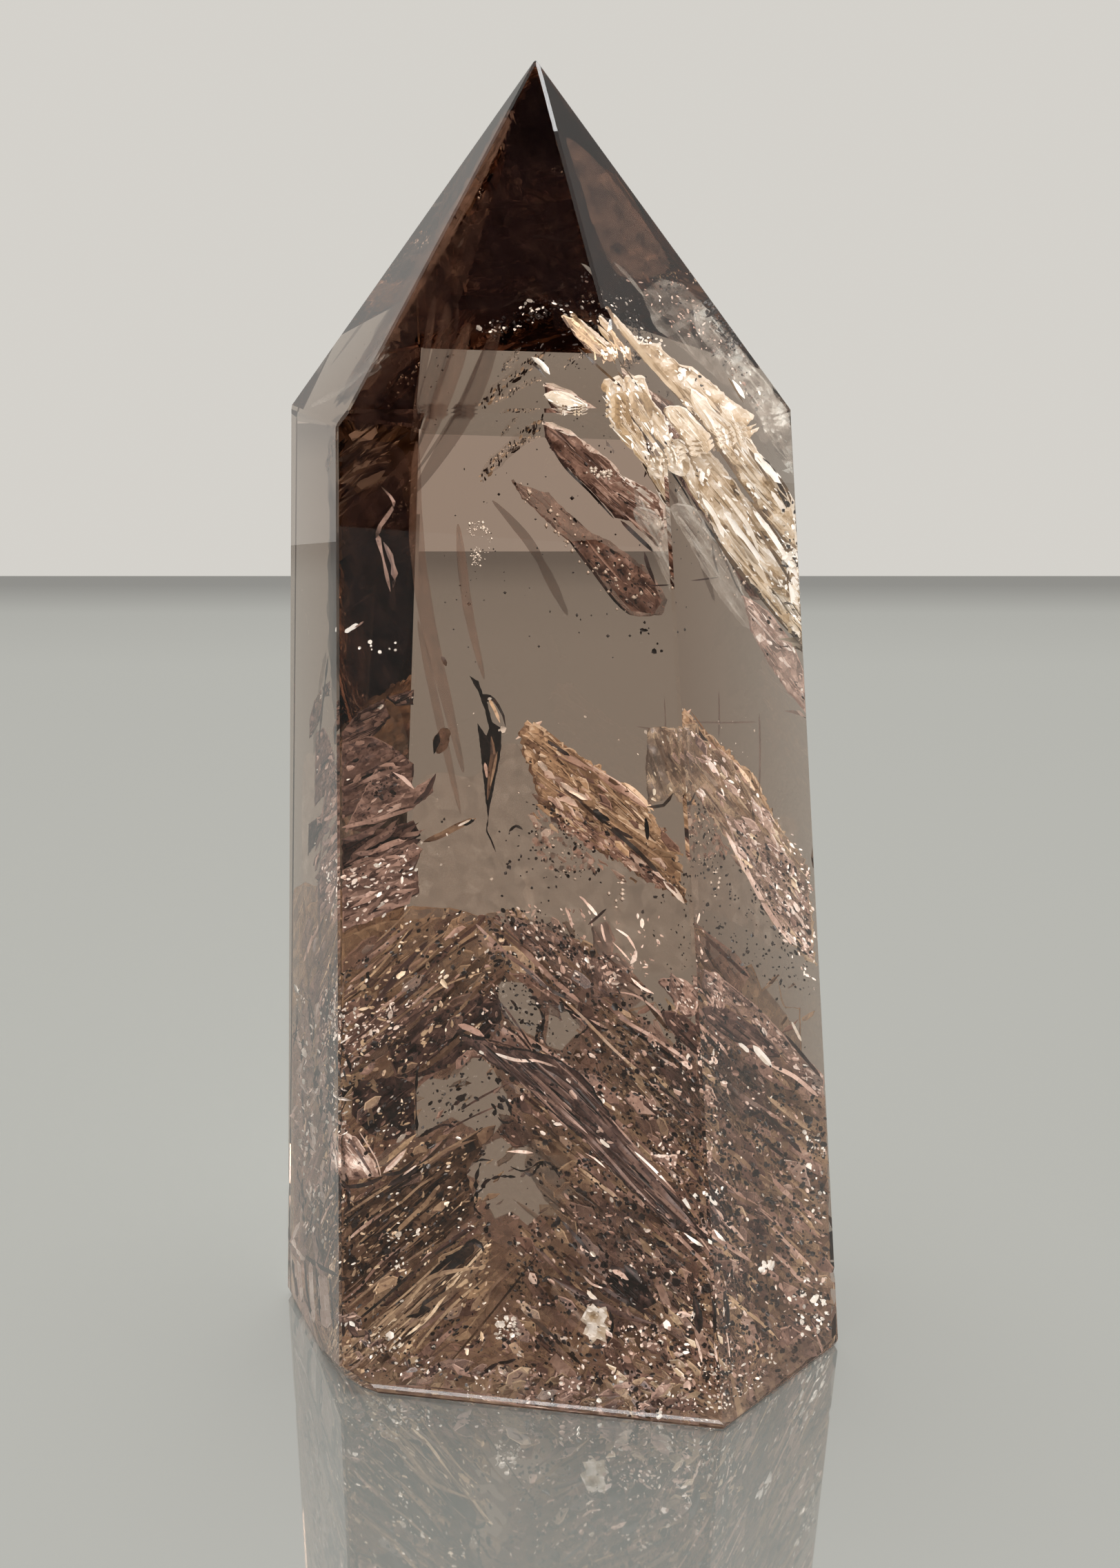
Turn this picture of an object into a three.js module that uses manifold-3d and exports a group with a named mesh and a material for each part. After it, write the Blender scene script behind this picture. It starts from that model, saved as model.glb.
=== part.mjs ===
// A skeletal quartz crystal, cut and polished as a standing point.
// The clear quartz grew as one piece: six upright faces, six tip faces that meet
// at the point, a flat sawn base, narrow polished bevels along the edges, a
// rounded corner at the front left of the base and a few small edge chips.
// The plates that grew inside it are sealed in pockets, for which the quartz is
// parted in two along a plane behind the point.
// Units are millimetres, +Z is up, and the crystal looks towards -Y.
// The origin is the middle of its outline on the surface that it rests on.

import * as THREE from "three";
import { ConvexGeometry } from "three/addons/geometries/ConvexGeometry.js";
import { mergeVertices } from "three/addons/utils/BufferGeometryUtils.js";
import Module from "manifold-3d";

// Upright faces. facing is the way a face looks, in degrees from +X seen from
// above. lean is how far it tips inwards from upright, in degrees. reach is its
// distance from the crystal's axis at the base. The polished bevel at its foot
// starts at bevelRise above the base and ends bevelInset inside the face.
const UPRIGHT_FACES = [
  { name: "front", facing: 258.2, lean: 1.2, reach: 13.95, bevelRise: 0.9, bevelInset: 0.45 },
  { name: "right", facing: 323.9, lean: 4.3, reach: 18.26, bevelRise: 0.3, bevelInset: 0.15 },
  { name: "backRight", facing: 21.7, lean: 3.3, reach: 16.42, bevelRise: 0.7, bevelInset: 0.35 },
  { name: "back", facing: 77.6, lean: 1.0, reach: 13.9, bevelRise: 0.5, bevelInset: 0.3 },
  { name: "backLeft", facing: 143.0, lean: 2.75, reach: 17.5, bevelRise: 0.7, bevelInset: 0.35 },
  { name: "left", facing: 198.7, lean: 1.3, reach: 17.28, bevelRise: 0.5, bevelInset: 0.25 },
];

// Tip faces pass through the point, or close by it: miss is how far inside it,
// or outside it where negative, a face goes, as on a point that is cut by hand.
const POINT = new THREE.Vector3(-1.28, 1.47, 85.31);
const TIP_FACES = [
  { name: "tipFront", facing: 257.0, lean: 34.4, miss: 0 },
  { name: "tipRight", facing: 321.3, lean: 35.0, miss: 0 },
  { name: "tipBackRight", facing: 27.9, lean: 30.3, miss: 0.05 },
  { name: "tipBack", facing: 77.6, lean: 26.1, miss: 0.1 },
  { name: "tipBackLeft", facing: 139.0, lean: 28.6, miss: -0.15 },
  { name: "tipLeft", facing: 197.45, lean: 35.1, miss: 0 },
];

// Width of the polished strip along an edge between two faces.
const EDGE_STRIP = 0.26;
const SHORTEST_BEVELLED_EDGE = 1;

// The worn corner at the front left of the base: flats that lean down and out,
// each cutting the corner's upright edge at its own height.
const WORN_CORNER = ["front", "left"];
const WORN_FLATS = [
  { facing: 207, lean: -30, height: 1.9 },
  { facing: 222, lean: -40, height: 1.8 },
  { facing: 236, lean: -34, height: 2.0 },
];

// Small chips, each a shallow scoop out of an edge between two faces.
const CHIP_RADIUS = 2.2;
const CHIP_SIDES = 14;
const CHIP_RINGS = 10;
const CHIPS = [
  { between: ["left", "backLeft"], height: 8.6, depth: 0.24 },
  { between: ["tipFront", "tipRight"], height: 70.4, depth: 0.26 },
  { between: ["right", "backRight"], height: 5.2, depth: 0.2 },
  { between: ["back", "backRight"], height: 31, depth: 0.22 },
];

// The quartz is parted at PARTING_Y. Every plate keeps a clear gap to its pocket,
// and every pocket keeps a wall of quartz between itself and the outside.
const PARTING_Y = 3;
const PARTING_GAP = 0.1;
const POCKET_GAP = 0.08;
const POCKET_WALL = 1.1;

// A plate's outline, as shares of its length and of its spread: a leaf hangs
// from its straight edge, and a wing narrows towards its foot.
const LEAF = [[0, 0], [1, 0], [0.88, 0.6], [0.5, 1], [0.08, 0.75]];
const WING = [[0, 0.15], [0.6, 0], [1, 0.35], [1, 0.65], [0.6, 1], [0, 0.85]];
const BAND = [[0, 0], [1, 0], [1, 1], [0, 1]];

// The blades under the point, which fan out from a stem to the right shoulder.
const BLADE_THICK = 0.7;
const UPPER_BLADES = {
  stem: { outline: BAND, from: [1.1, -1.6, 68.6], to: [0.2, -1.2, 62.6], spread: [-0.4, 2.4, -0.6] },
  stemBack: { outline: BAND, from: [0.2, -1.2, 63.4], to: [-1.4, 9.8, 59.0], spread: [0.7, 0, 1.2] },
  comb: { outline: LEAF, from: [-3.6, 8.8, 58.6], to: [0.6, 7.4, 63.4], spread: [1.1, -3.4, -1.2] },
  gold: { outline: LEAF, from: [0.8, -1.8, 68.6], to: [3.1, -2.0, 63.8], spread: [0, 3.0, -1.2] },
  cream: { outline: LEAF, from: [1.4, -1.4, 68.2], to: [11.6, -1.0, 61.0], spread: [-0.6, 5.0, -2.0] },
  creamEnd: { outline: LEAF, from: [9.6, -1.0, 62.6], to: [13.6, 0.8, 52.4], spread: [-2.0, 2.8, -0.4] },
  second: { outline: LEAF, from: [1.6, -1.4, 65.0], to: [12.6, 0.4, 50.6], spread: [-1.6, 4.4, -1.4] },
  brown: { outline: LEAF, from: [0.0, -1.4, 63.8], to: [7.8, -2.7, 56.6], spread: [-0.6, 5.4, -2.2] },
  speckled: { outline: LEAF, from: [-1.8, 9.9, 59.4], to: [8.8, 8.4, 49.4], spread: [-0.4, -6.6, -1.6] },
};

// The golden bundle in the middle, and the fold that stands on it.
const GOLDEN_BLADES = {
  bar: { outline: LEAF, from: [-1.2, 7.0, 42.6], to: [10.6, 7.2, 31.2], spread: [-0.8, -6.4, -2.4] },
  under: { outline: LEAF, from: [-0.6, 5.0, 40.6], to: [9.4, 5.6, 30.6], spread: [-0.8, -4.2, -0.6] },
  fold: { outline: BAND, from: [8.2, 1.0, 41.6], to: [8.6, 3.4, 33.4], spread: [0.6, 4.6, 0] },
};

// The flakes by the left edge, on the thin film that they hang from.
const FLAKE_THICK = 0.5;
const FLAKE_FILM = {
  outline: BAND,
  from: [-10.6, -1.2, 46.0],
  to: [-10.6, -1.2, 32.0],
  spread: [0, 5.2, 0],
};
const FLAKES = {
  count: 5,
  topZ: 44.0,
  pitch: 2.7,
  from: [-14.0, -2.0],
  to: [-7.6, 0.4],
  rise: 2.6,
  spread: [0, 4.6, 0.6],
};

// The cloud in the lower half: thin layers one below the other, like a stack of
// tents, that grew with the point. Their ridges stand on a keel. reach is how
// far a wing goes along X, fall is its slope in degrees, and drop is how far its
// ridge is below the layer's own height.
const CLOUD = {
  layers: 7,
  topZ: 36,
  pitch: 4.7,
  ridgeX: -3,
  front: -7.5,
  back: 7.5,
  stagger: 1.2,
  thick: 0.36,
  overlap: 0.6,
  left: { reach: -10.5, fall: 39, drop: 0 },
  right: { reach: 18.5, fall: 37, drop: 3 },
  keel: { front: -0.5, back: 4.5, top: 1, foot: 4 },
};

const NEARLY_PARALLEL = 1e-4;
const SAME_POINT = 0.01;
const ON_FACE = 1e-4;

// The eight corners of a box, as ways to go from its middle.
const SIDES = [-1, 1].flatMap((a) => [-1, 1].flatMap((b) => [-1, 1].map((c) => [a, b, c])));

const CLEAR_SMOKY_QUARTZ = new THREE.MeshStandardMaterial({
  name: "clear_smoky_quartz",
  color: 0x968d85,
  roughness: 0.04,
  metalness: 0,
  transparent: true,
  opacity: 0.4,
});

// The finish of what grew inside.
function grownFinish(name, color) {
  return new THREE.MeshStandardMaterial({ name, color, roughness: 0.4, metalness: 0 });
}

const CREAM_BLADES = grownFinish("cream_blades", 0xd6bd96);
const GOLDEN_BUNDLE = grownFinish("golden_bundle", 0xb08540);
const BROWN_FEATHERS = grownFinish("brown_feathers", 0x6b4c3c);
const PINK_BROWN_FLAKES = grownFinish("pink_brown_flakes", 0x8a6656);

// The outward direction of a face that looks along facing and tips by lean.
function outward(facing, lean) {
  const turn = THREE.MathUtils.degToRad(facing);
  const tip = THREE.MathUtils.degToRad(lean);
  return new THREE.Vector3(
    Math.cos(turn) * Math.cos(tip),
    Math.sin(turn) * Math.cos(tip),
    Math.sin(tip),
  );
}

function planeThrough(normal, point) {
  return new THREE.Plane().setFromNormalAndCoplanarPoint(normal, point);
}

// The point that three planes share, or null where two are nearly parallel.
function meetingPoint(a, b, c) {
  const bc = b.normal.clone().cross(c.normal);
  const spread = a.normal.dot(bc);
  if (Math.abs(spread) < NEARLY_PARALLEL) return null;
  return bc
    .multiplyScalar(-a.constant)
    .addScaledVector(c.normal.clone().cross(a.normal), -b.constant)
    .addScaledVector(a.normal.clone().cross(b.normal), -c.constant)
    .divideScalar(spread);
}

// The corners of the solid that lies behind every plane.
function cornersBehind(planes) {
  const corners = [];
  for (let i = 0; i < planes.length; i += 1) {
    for (let j = i + 1; j < planes.length; j += 1) {
      for (let k = j + 1; k < planes.length; k += 1) {
        const corner = meetingPoint(planes[i], planes[j], planes[k]);
        if (!corner) continue;
        if (planes.some((plane) => plane.distanceToPoint(corner) > ON_FACE)) continue;
        if (corners.some((other) => other.distanceTo(corner) < SAME_POINT)) continue;
        corners.push(corner);
      }
    }
  }
  return corners;
}

// The cut faces by name, before any bevel.
function cutFaces() {
  const faces = new Map();
  for (const { name, facing, lean, reach } of UPRIGHT_FACES) {
    const foot = outward(facing, 0).multiplyScalar(reach);
    faces.set(name, planeThrough(outward(facing, lean), foot));
  }
  for (const { name, facing, lean, miss } of TIP_FACES) {
    const normal = outward(facing, lean);
    faces.set(name, planeThrough(normal, POINT.clone().addScaledVector(normal, -miss)));
  }
  faces.set("base", planeThrough(new THREE.Vector3(0, 0, -1), new THREE.Vector3()));
  return faces;
}

// The flat that takes an edge off: it looks midway between the two faces.
function edgeBevel(first, second, edgePoint) {
  const between = first.normal.clone().add(second.normal).normalize();
  const halfAngle = first.normal.angleTo(second.normal) / 2;
  const depth = (EDGE_STRIP / 2) * Math.tan(halfAngle);
  return planeThrough(between, edgePoint.clone().addScaledVector(between, -depth));
}

// The flats where the upright faces meet the base.
function footBevels() {
  return UPRIGHT_FACES.map(({ facing, reach, bevelRise, bevelInset }) => {
    const slope = THREE.MathUtils.radToDeg(Math.atan2(bevelInset, bevelRise));
    const foot = outward(facing, 0).multiplyScalar(reach - bevelInset);
    return planeThrough(outward(facing, -slope), foot);
  });
}

// One bevel for each real edge between two cut faces above the base.
function edgeBevels(faces) {
  const named = [...faces].filter(([name]) => name !== "base");
  const corners = cornersBehind([...faces.values()]);
  const bevels = [];
  named.forEach(([, first], i) => {
    named.slice(i + 1).forEach(([, second]) => {
      const ends = corners.filter(
        (corner) =>
          Math.abs(first.distanceToPoint(corner)) < SAME_POINT &&
          Math.abs(second.distanceToPoint(corner)) < SAME_POINT,
      );
      if (ends.length < 2) return;
      if (ends[0].distanceTo(ends[ends.length - 1]) < SHORTEST_BEVELLED_EDGE) return;
      bevels.push(edgeBevel(first, second, ends[0]));
    });
  });
  return bevels;
}

// The point on the edge between two faces at a height above the base.
function pointOnEdge(faces, names, height) {
  const level = new THREE.Plane(new THREE.Vector3(0, 0, 1), -height);
  return meetingPoint(faces.get(names[0]), faces.get(names[1]), level);
}

function wornCorner(faces) {
  return WORN_FLATS.map(({ facing, lean, height }) =>
    planeThrough(outward(facing, lean), pointOnEdge(faces, WORN_CORNER, height)),
  );
}

// A ball that bites the wanted depth into an edge.
function chipBall(faces, { between, height, depth }) {
  const outwards = faces
    .get(between[0])
    .normal.clone()
    .add(faces.get(between[1]).normal)
    .normalize();
  const centre = pointOnEdge(faces, between, height).addScaledVector(
    outwards,
    CHIP_RADIUS - depth,
  );
  return new THREE.SphereGeometry(CHIP_RADIUS, CHIP_SIDES, CHIP_RINGS).translate(
    centre.x,
    centre.y,
    centre.z,
  );
}

// A closed geometry as a solid that can be cut and joined.
function solidOf(geometry, kernel) {
  const bare = geometry.clone();
  bare.deleteAttribute("normal");
  bare.deleteAttribute("uv");
  const merged = mergeVertices(bare, ON_FACE);
  return new kernel.Manifold(
    new kernel.Mesh({
      numProp: 3,
      vertProperties: merged.attributes.position.array,
      triVerts: new Uint32Array(merged.index.array),
    }),
  );
}

function geometryOf(solid) {
  const mesh = solid.getMesh();
  const geometry = new THREE.BufferGeometry()
    .setAttribute("position", new THREE.BufferAttribute(mesh.vertProperties, mesh.numProp))
    .setIndex(new THREE.BufferAttribute(mesh.triVerts, 1))
    .toNonIndexed();
  geometry.computeVertexNormals();
  return geometry;
}

function chipped(body, faces, kernel) {
  return CHIPS.reduce(
    (solid, chip) => solid.subtract(solidOf(chipBall(faces, chip), kernel)),
    body,
  );
}

// The solid behind every plane once each has moved inwards.
function shrunk(planes, inwards, kernel) {
  const moved = planes.map((plane) => new THREE.Plane(plane.normal, plane.constant + inwards));
  return solidOf(new ConvexGeometry(cornersBehind(moved)), kernel);
}

// One flat plate. Its outline lies between the line that it runs along and its
// spread, and gap makes it larger all round, for its pocket.
function plate({ outline, from, to, spread }, thick, gap, kernel) {
  const start = new THREE.Vector3(...from);
  const run = new THREE.Vector3(...to).sub(start);
  const reach = new THREE.Vector3(...spread);
  const along = run.clone().normalize();
  const out = run.clone().cross(reach).normalize();
  const aside = out.clone().cross(along);
  const points = [];
  for (const [share, width] of outline) {
    const corner = start.clone().addScaledVector(run, share).addScaledVector(reach, width);
    for (const [a, b, c] of SIDES) {
      points.push(
        corner
          .clone()
          .addScaledVector(along, a * gap)
          .addScaledVector(aside, b * gap)
          .addScaledVector(out, c * (thick / 2 + gap))
          .toArray(),
      );
    }
  }
  return kernel.Manifold.hull(points);
}

// Plates that grew together, and the pocket that they need.
function inclusion(plates, thick, flats, kernel) {
  const joined = (gap) => kernel.Manifold.union(plates.map((one) => plate(one, thick, gap, kernel)));
  return {
    solid: joined(0).intersect(shrunk(flats, POCKET_WALL + POCKET_GAP, kernel)),
    pocket: joined(POCKET_GAP).intersect(shrunk(flats, POCKET_WALL, kernel)),
  };
}

function flakePlates() {
  const flakes = Array.from({ length: FLAKES.count }, (_, i) => {
    const z = FLAKES.topZ - FLAKES.pitch * i;
    return {
      outline: LEAF,
      from: [...FLAKES.from, z - FLAKES.rise / 2],
      to: [...FLAKES.to, z + FLAKES.rise / 2],
      spread: FLAKES.spread,
    };
  });
  return [FLAKE_FILM, ...flakes];
}

// Both wings of every layer, and the keel that carries their ridges.
function cloudPlates() {
  const { layers, topZ, pitch, ridgeX, front, back, stagger, overlap, left, right, keel } = CLOUD;
  const plates = [
    {
      outline: BAND,
      from: [ridgeX, keel.front, topZ + keel.top],
      to: [ridgeX, keel.front, keel.foot],
      spread: [0, keel.back - keel.front, 0],
    },
  ];
  for (let i = 0; i < layers; i += 1) {
    const shift = i % 2 ? stagger : -stagger;
    for (const { reach, fall, drop } of [left, right]) {
      const ridgeZ = topZ - pitch * i - drop;
      const footZ = ridgeZ - Math.abs(reach) * Math.tan(THREE.MathUtils.degToRad(fall));
      plates.push({
        outline: WING,
        from: [ridgeX - Math.sign(reach) * overlap, front + shift, ridgeZ],
        to: [ridgeX + reach, front + shift, footZ],
        spread: [0, back - front, 0],
      });
    }
  }
  return plates;
}

// Moves the planes so that the middle of the outline is over the origin.
function centre(flats) {
  const box = new THREE.Box3().setFromPoints(cornersBehind(flats));
  const middle = box.getCenter(new THREE.Vector3()).setZ(box.min.z);
  flats.forEach((plane) => plane.translate(middle.clone().negate()));
}

const kernel = await Module();
kernel.setup();

const faces = cutFaces();
const flats = [...faces.values(), ...edgeBevels(faces), ...footBevels(), ...wornCorner(faces)];
centre(flats);

const grown = [
  {
    name: "upper_blades",
    material: CREAM_BLADES,
    plates: Object.values(UPPER_BLADES),
    thick: BLADE_THICK,
  },
  {
    name: "golden_blades",
    material: GOLDEN_BUNDLE,
    plates: Object.values(GOLDEN_BLADES),
    thick: BLADE_THICK,
  },
  {
    name: "edge_flakes",
    material: PINK_BROWN_FLAKES,
    plates: flakePlates(),
    thick: FLAKE_THICK,
  },
  {
    name: "cloud_layers",
    material: BROWN_FEATHERS,
    plates: cloudPlates(),
    thick: CLOUD.thick,
  },
].map(({ name, material, plates, thick }) => ({
  name,
  material,
  ...inclusion(plates, thick, flats, kernel),
}));

const whole = chipped(shrunk(flats, 0, kernel), faces, kernel);
const pockets = kernel.Manifold.union(grown.map(({ pocket }) => pocket));
const halves = [
  { name: "crystal_front", towards: -1 },
  { name: "crystal_back", towards: 1 },
].map(({ name, towards }) => ({
  name,
  material: CLEAR_SMOKY_QUARTZ,
  solid: whole
    .trimByPlane([0, towards, 0], towards * PARTING_Y + PARTING_GAP / 2)
    .subtract(pockets),
}));

const group = new THREE.Group();
for (const { name, material, solid } of [...halves, ...grown]) {
  const mesh = new THREE.Mesh(geometryOf(solid), material);
  mesh.name = name;
  group.add(mesh);
}

export default group;
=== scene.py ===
"""A skeletal quartz crystal: a clear, faintly smoky polished point with inclusions inside.

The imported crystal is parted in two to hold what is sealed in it, so one clear
piece stands for both halves. Inside it this script grows the cream blades, the
golden bundle, the flakes, the voids and the brown cloud, and it sets a plain
pale stage, soft light and the camera. Places that come from the photograph are
pixels of it, written as x,y pairs, and deep is how many millimetres a thing
lies below the surface, along the line of sight.
"""

import logging
import math
from dataclasses import dataclass
from enum import Enum
from typing import Protocol

import bmesh
import bpy
import numpy as np
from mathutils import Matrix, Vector
from mathutils.geometry import delaunay_2d_cdt


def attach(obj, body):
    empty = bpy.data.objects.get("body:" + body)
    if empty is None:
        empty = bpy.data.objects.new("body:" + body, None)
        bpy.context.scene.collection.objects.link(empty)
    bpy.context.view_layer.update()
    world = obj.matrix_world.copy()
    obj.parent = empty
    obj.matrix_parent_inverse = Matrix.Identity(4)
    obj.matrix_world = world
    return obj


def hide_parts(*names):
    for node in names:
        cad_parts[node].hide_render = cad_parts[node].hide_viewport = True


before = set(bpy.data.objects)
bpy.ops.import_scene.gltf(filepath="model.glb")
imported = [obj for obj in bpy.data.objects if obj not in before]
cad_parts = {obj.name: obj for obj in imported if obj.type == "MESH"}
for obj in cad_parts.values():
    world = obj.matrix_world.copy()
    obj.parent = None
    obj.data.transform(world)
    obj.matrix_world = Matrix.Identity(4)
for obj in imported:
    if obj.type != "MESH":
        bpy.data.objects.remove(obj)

MM = 0.001
NOT_NOUGHT = 1e-9
QUARTZ_IOR = 1.544
CRYSTAL_BODY = "root"
SMALLEST_FACE = 0.1 * MM**2
ON_FACE = 0.02 * MM
SAME_WAY = 0.9999
LOG = logging.getLogger("quartz_point")

Array = np.ndarray
Span = tuple[float, float]
Outline = tuple[float, ...]
Flecks = tuple[int, float, float]
Settings = dict[str, float | tuple[float, ...]]
Socket = bpy.types.NodeSocket
Colour = tuple[float, float, float]
Place = tuple[float, float, float]


@dataclass(frozen=True)
class PhotoCamera:
    """The camera at the photograph's viewing angle."""

    width_px: float = 1624.0
    height_px: float = 2274.0
    focal_px: float = 3800.0
    horizon_px: float = 60.0
    sensor_mm: float = 36.0
    nearest: float = 0.005
    place: Place = (0.000175, -0.16754, 0.0863)

    @property
    def pitch_down(self) -> float:
        """How far the camera looks below the horizon, in radians."""
        return math.atan((self.height_px / 2 - self.horizon_px) / self.focal_px)

    @property
    def axes(self) -> Array:
        """Unit vectors to the right, up and forward, as rows."""
        sink, level = math.sin(self.pitch_down), math.cos(self.pitch_down)
        return np.array([[1.0, 0.0, 0.0], [0.0, sink, level], [0.0, level, -sink]])

    def rays(self, x: Array, y: Array) -> Array:
        """The directions of sight through pixels of the photograph.

        Args:
            x: pixels from the left edge.
            y: pixels from the top edge.

        Returns:
            Unit vectors in the part's frame, one a row.
        """
        right, up, forward = self.axes
        across = (np.asarray(x, float) - self.width_px / 2) / self.focal_px
        down = (np.asarray(y, float) - self.height_px / 2) / self.focal_px
        ways = forward + across[..., None] * right - down[..., None] * up
        return ways / np.linalg.norm(ways, axis=-1, keepdims=True)

    def build(self) -> bpy.types.Object:
        """Makes the camera and hands it to the scene.

        Returns:
            The camera.
        """
        data = bpy.data.cameras.new("photo_view")
        data.sensor_width = self.sensor_mm
        data.lens = self.focal_px / self.height_px * self.sensor_mm
        data.clip_start = self.nearest
        camera = bpy.data.objects.new("photo_view", data)
        camera.location = self.place
        camera.rotation_euler = (math.pi / 2 - self.pitch_down, 0.0, 0.0)
        bpy.context.scene.collection.objects.link(camera)
        bpy.context.scene.camera = camera
        return camera


def flat_faces(mesh: bpy.types.Mesh) -> tuple[Array, Array]:
    """The flat outer faces of a crystal.

    Args:
        mesh: the crystal, or both of its halves.

    Returns:
        The faces' outward unit vectors and their distances from the origin.
    """
    corners = np.array([vertex.co for vertex in mesh.vertices])
    found: set[tuple[float, ...]] = set()
    for face in mesh.polygons:
        normal = np.array(face.normal)
        reach = float(corners[face.vertices[0]] @ normal)
        if face.area > SMALLEST_FACE and (corners @ normal).max() - reach < ON_FACE:
            found.add(tuple(np.round([*normal, reach], 4)))
    rows = np.array(sorted(found))
    normals = rows[:, :3] / np.linalg.norm(rows[:, :3], axis=1, keepdims=True)
    kept: list[int] = []
    for i, normal in enumerate(normals):
        if all(normal @ normals[k] < SAME_WAY for k in kept):
            kept.append(i)
    reaches = np.array([(corners @ normals[k]).max() for k in kept])
    return normals[kept], reaches


class CrystalSpace:
    """The inside of the crystal: its flat faces, and lines of sight bent into it."""

    DEEPEST = 0.96
    LEVEL = 1e-6
    PUSHES = 4

    def __init__(self, mesh: bpy.types.Mesh, camera: PhotoCamera) -> None:
        """Reads the crystal's flat faces.

        Args:
            mesh: the whole crystal.
            camera: the camera that looks at it.
        """
        self.camera = camera
        self.normals, self.reaches = flat_faces(mesh)

    def met(self, x: Array, y: Array) -> Array:
        """The number of the face that each pixel's line of sight meets first.

        Args:
            x: pixels from the left.
            y: pixels from the top.

        Returns:
            The faces' numbers, one a pixel.
        """
        ways = self.camera.rays(x, y)
        facing = ways @ self.normals.T
        gap = self.reaches - self.normals @ np.array(self.camera.place)
        return np.where(facing < 0, gap / np.minimum(facing, -NOT_NOUGHT), -np.inf).argmax(axis=1)

    def place(self, x: Array, y: Array, deep: Array, faces: Array) -> Array:
        """Places inside the crystal.

        Args:
            x: pixels from the left.
            y: pixels from the top.
            deep: how far below the surface, along the sight, in millimetres.
            faces: the faces that the sight goes in through.

        Returns:
            Points, one a row.
        """
        starts, inner, reach = self.sight(x, y, faces)
        return starts + inner * np.minimum(deep * MM, self.DEEPEST * reach)[:, None]

    def sight(self, x: Array, y: Array, faces: Array) -> tuple[Array, ...]:
        """Where lines of sight enter the crystal, how they run on, and for how far.

        Args:
            x: pixels from the left.
            y: pixels from the top.
            faces: the faces that they go in through.

        Returns:
            Entry points, directions inside, and lengths inside.
        """
        ways = self.camera.rays(x, y)
        normals, reaches = self.normals[faces], self.reaches[faces]
        eye = np.array(self.camera.place)
        facing = (ways * normals).sum(axis=1)
        away = (reaches - normals @ eye) / facing
        starts = eye + ways * away[:, None]
        cosine = np.sqrt(1 - (1 - facing**2) / QUARTZ_IOR**2)
        inner = ways / QUARTZ_IOR - (facing / QUARTZ_IOR + cosine)[:, None] * normals
        inner /= np.linalg.norm(inner, axis=1, keepdims=True)
        onward = inner @ self.normals.T
        left = self.reaches - starts @ self.normals.T
        reach = np.where(onward > self.LEVEL, left / np.maximum(onward, self.LEVEL), np.inf)
        reach[np.arange(len(faces)), faces] = np.inf
        return starts, inner, np.maximum(reach.min(axis=1), 0)

    def kept_inside(self, points: Array, margin: float) -> Array:
        """Points moved in where they come nearer than margin to a face.

        Args:
            points: the points, one a row.
            margin: how near to a face they may come.

        Returns:
            The points, with those that came too near moved.
        """
        moved = points.copy()
        for _ in range(self.PUSHES):
            over = moved @ self.normals.T - (self.reaches - margin)
            worst = over.argmax(axis=1)
            push = np.maximum(over[np.arange(len(moved)), worst], 0)
            moved -= self.normals[worst] * push[:, None]
        return moved


class Drift:
    """A smooth random pattern with a mean of 0 and a spread of about 1."""

    PACE = (0.5, 2.2)

    def __init__(self, rng: np.random.Generator, sizes: tuple[float, ...], waves: int = 24) -> None:
        """Draws the waves.

        Args:
            rng: the source of chance.
            sizes: the pattern's size along each axis.
            waves: how many waves it is the sum of.
        """
        ways = rng.normal(size=(waves, len(sizes)))
        self.ways = ways / np.linalg.norm(ways, axis=1, keepdims=True)
        self.ways *= 2 * math.pi * rng.uniform(*self.PACE, (waves, 1)) / np.array(sizes)
        self.shifts = rng.uniform(0, 2 * math.pi, waves)

    def __call__(self, places: Array) -> Array:
        """The pattern's values at places, one a row."""
        waves = np.cos(places @ self.ways.T + self.shifts)
        return waves.sum(axis=-1) * math.sqrt(2 / len(self.shifts))


def pixels_of(pairs: Outline) -> Array:
    """The pixels of a line or an outline that is written as x,y pairs, one a row."""
    return np.array(pairs, float).reshape(-1, 2)


def along_and_across(degrees: float) -> Array:
    """The directions along and across streaks that run so far down to the right, as rows."""
    turn = math.radians(degrees)
    return np.array([[math.cos(turn), math.sin(turn)], [-math.sin(turn), math.cos(turn)]])


def drawn_line(pairs: Outline, step: float, closed: bool, curved: bool) -> Array:
    """A line through pixels, cut into short steps.

    Args:
        pairs: the pixels that it goes through.
        step: the length of a step in pixels.
        closed: whether it comes back to its start.
        curved: whether it bends smoothly through the pixels.

    Returns:
        The pixels along it, one a row.
    """
    knots = pixels_of(pairs)
    n = len(knots)
    rows = []
    for i in range(n if closed else n - 1):
        numbers = (i - 1, i, i + 1, i + 2)
        a, b, c, d = (knots[k % n] if closed else knots[min(max(k, 0), n - 1)] for k in numbers)
        count = max(int(np.linalg.norm(c - b) / step), 1)
        t = np.arange(count)[:, None] / count
        if curved:
            bend = 2 * b + (c - a) * t + (2 * a - 5 * b + 4 * c - d) * t**2 + (3 * b - a - 3 * c + d) * t**3
            rows.append(bend / 2)
        else:
            rows.append(b + (c - b) * t)
    if not closed:
        rows.append(knots[-1:])
    return np.concatenate(rows)


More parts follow.
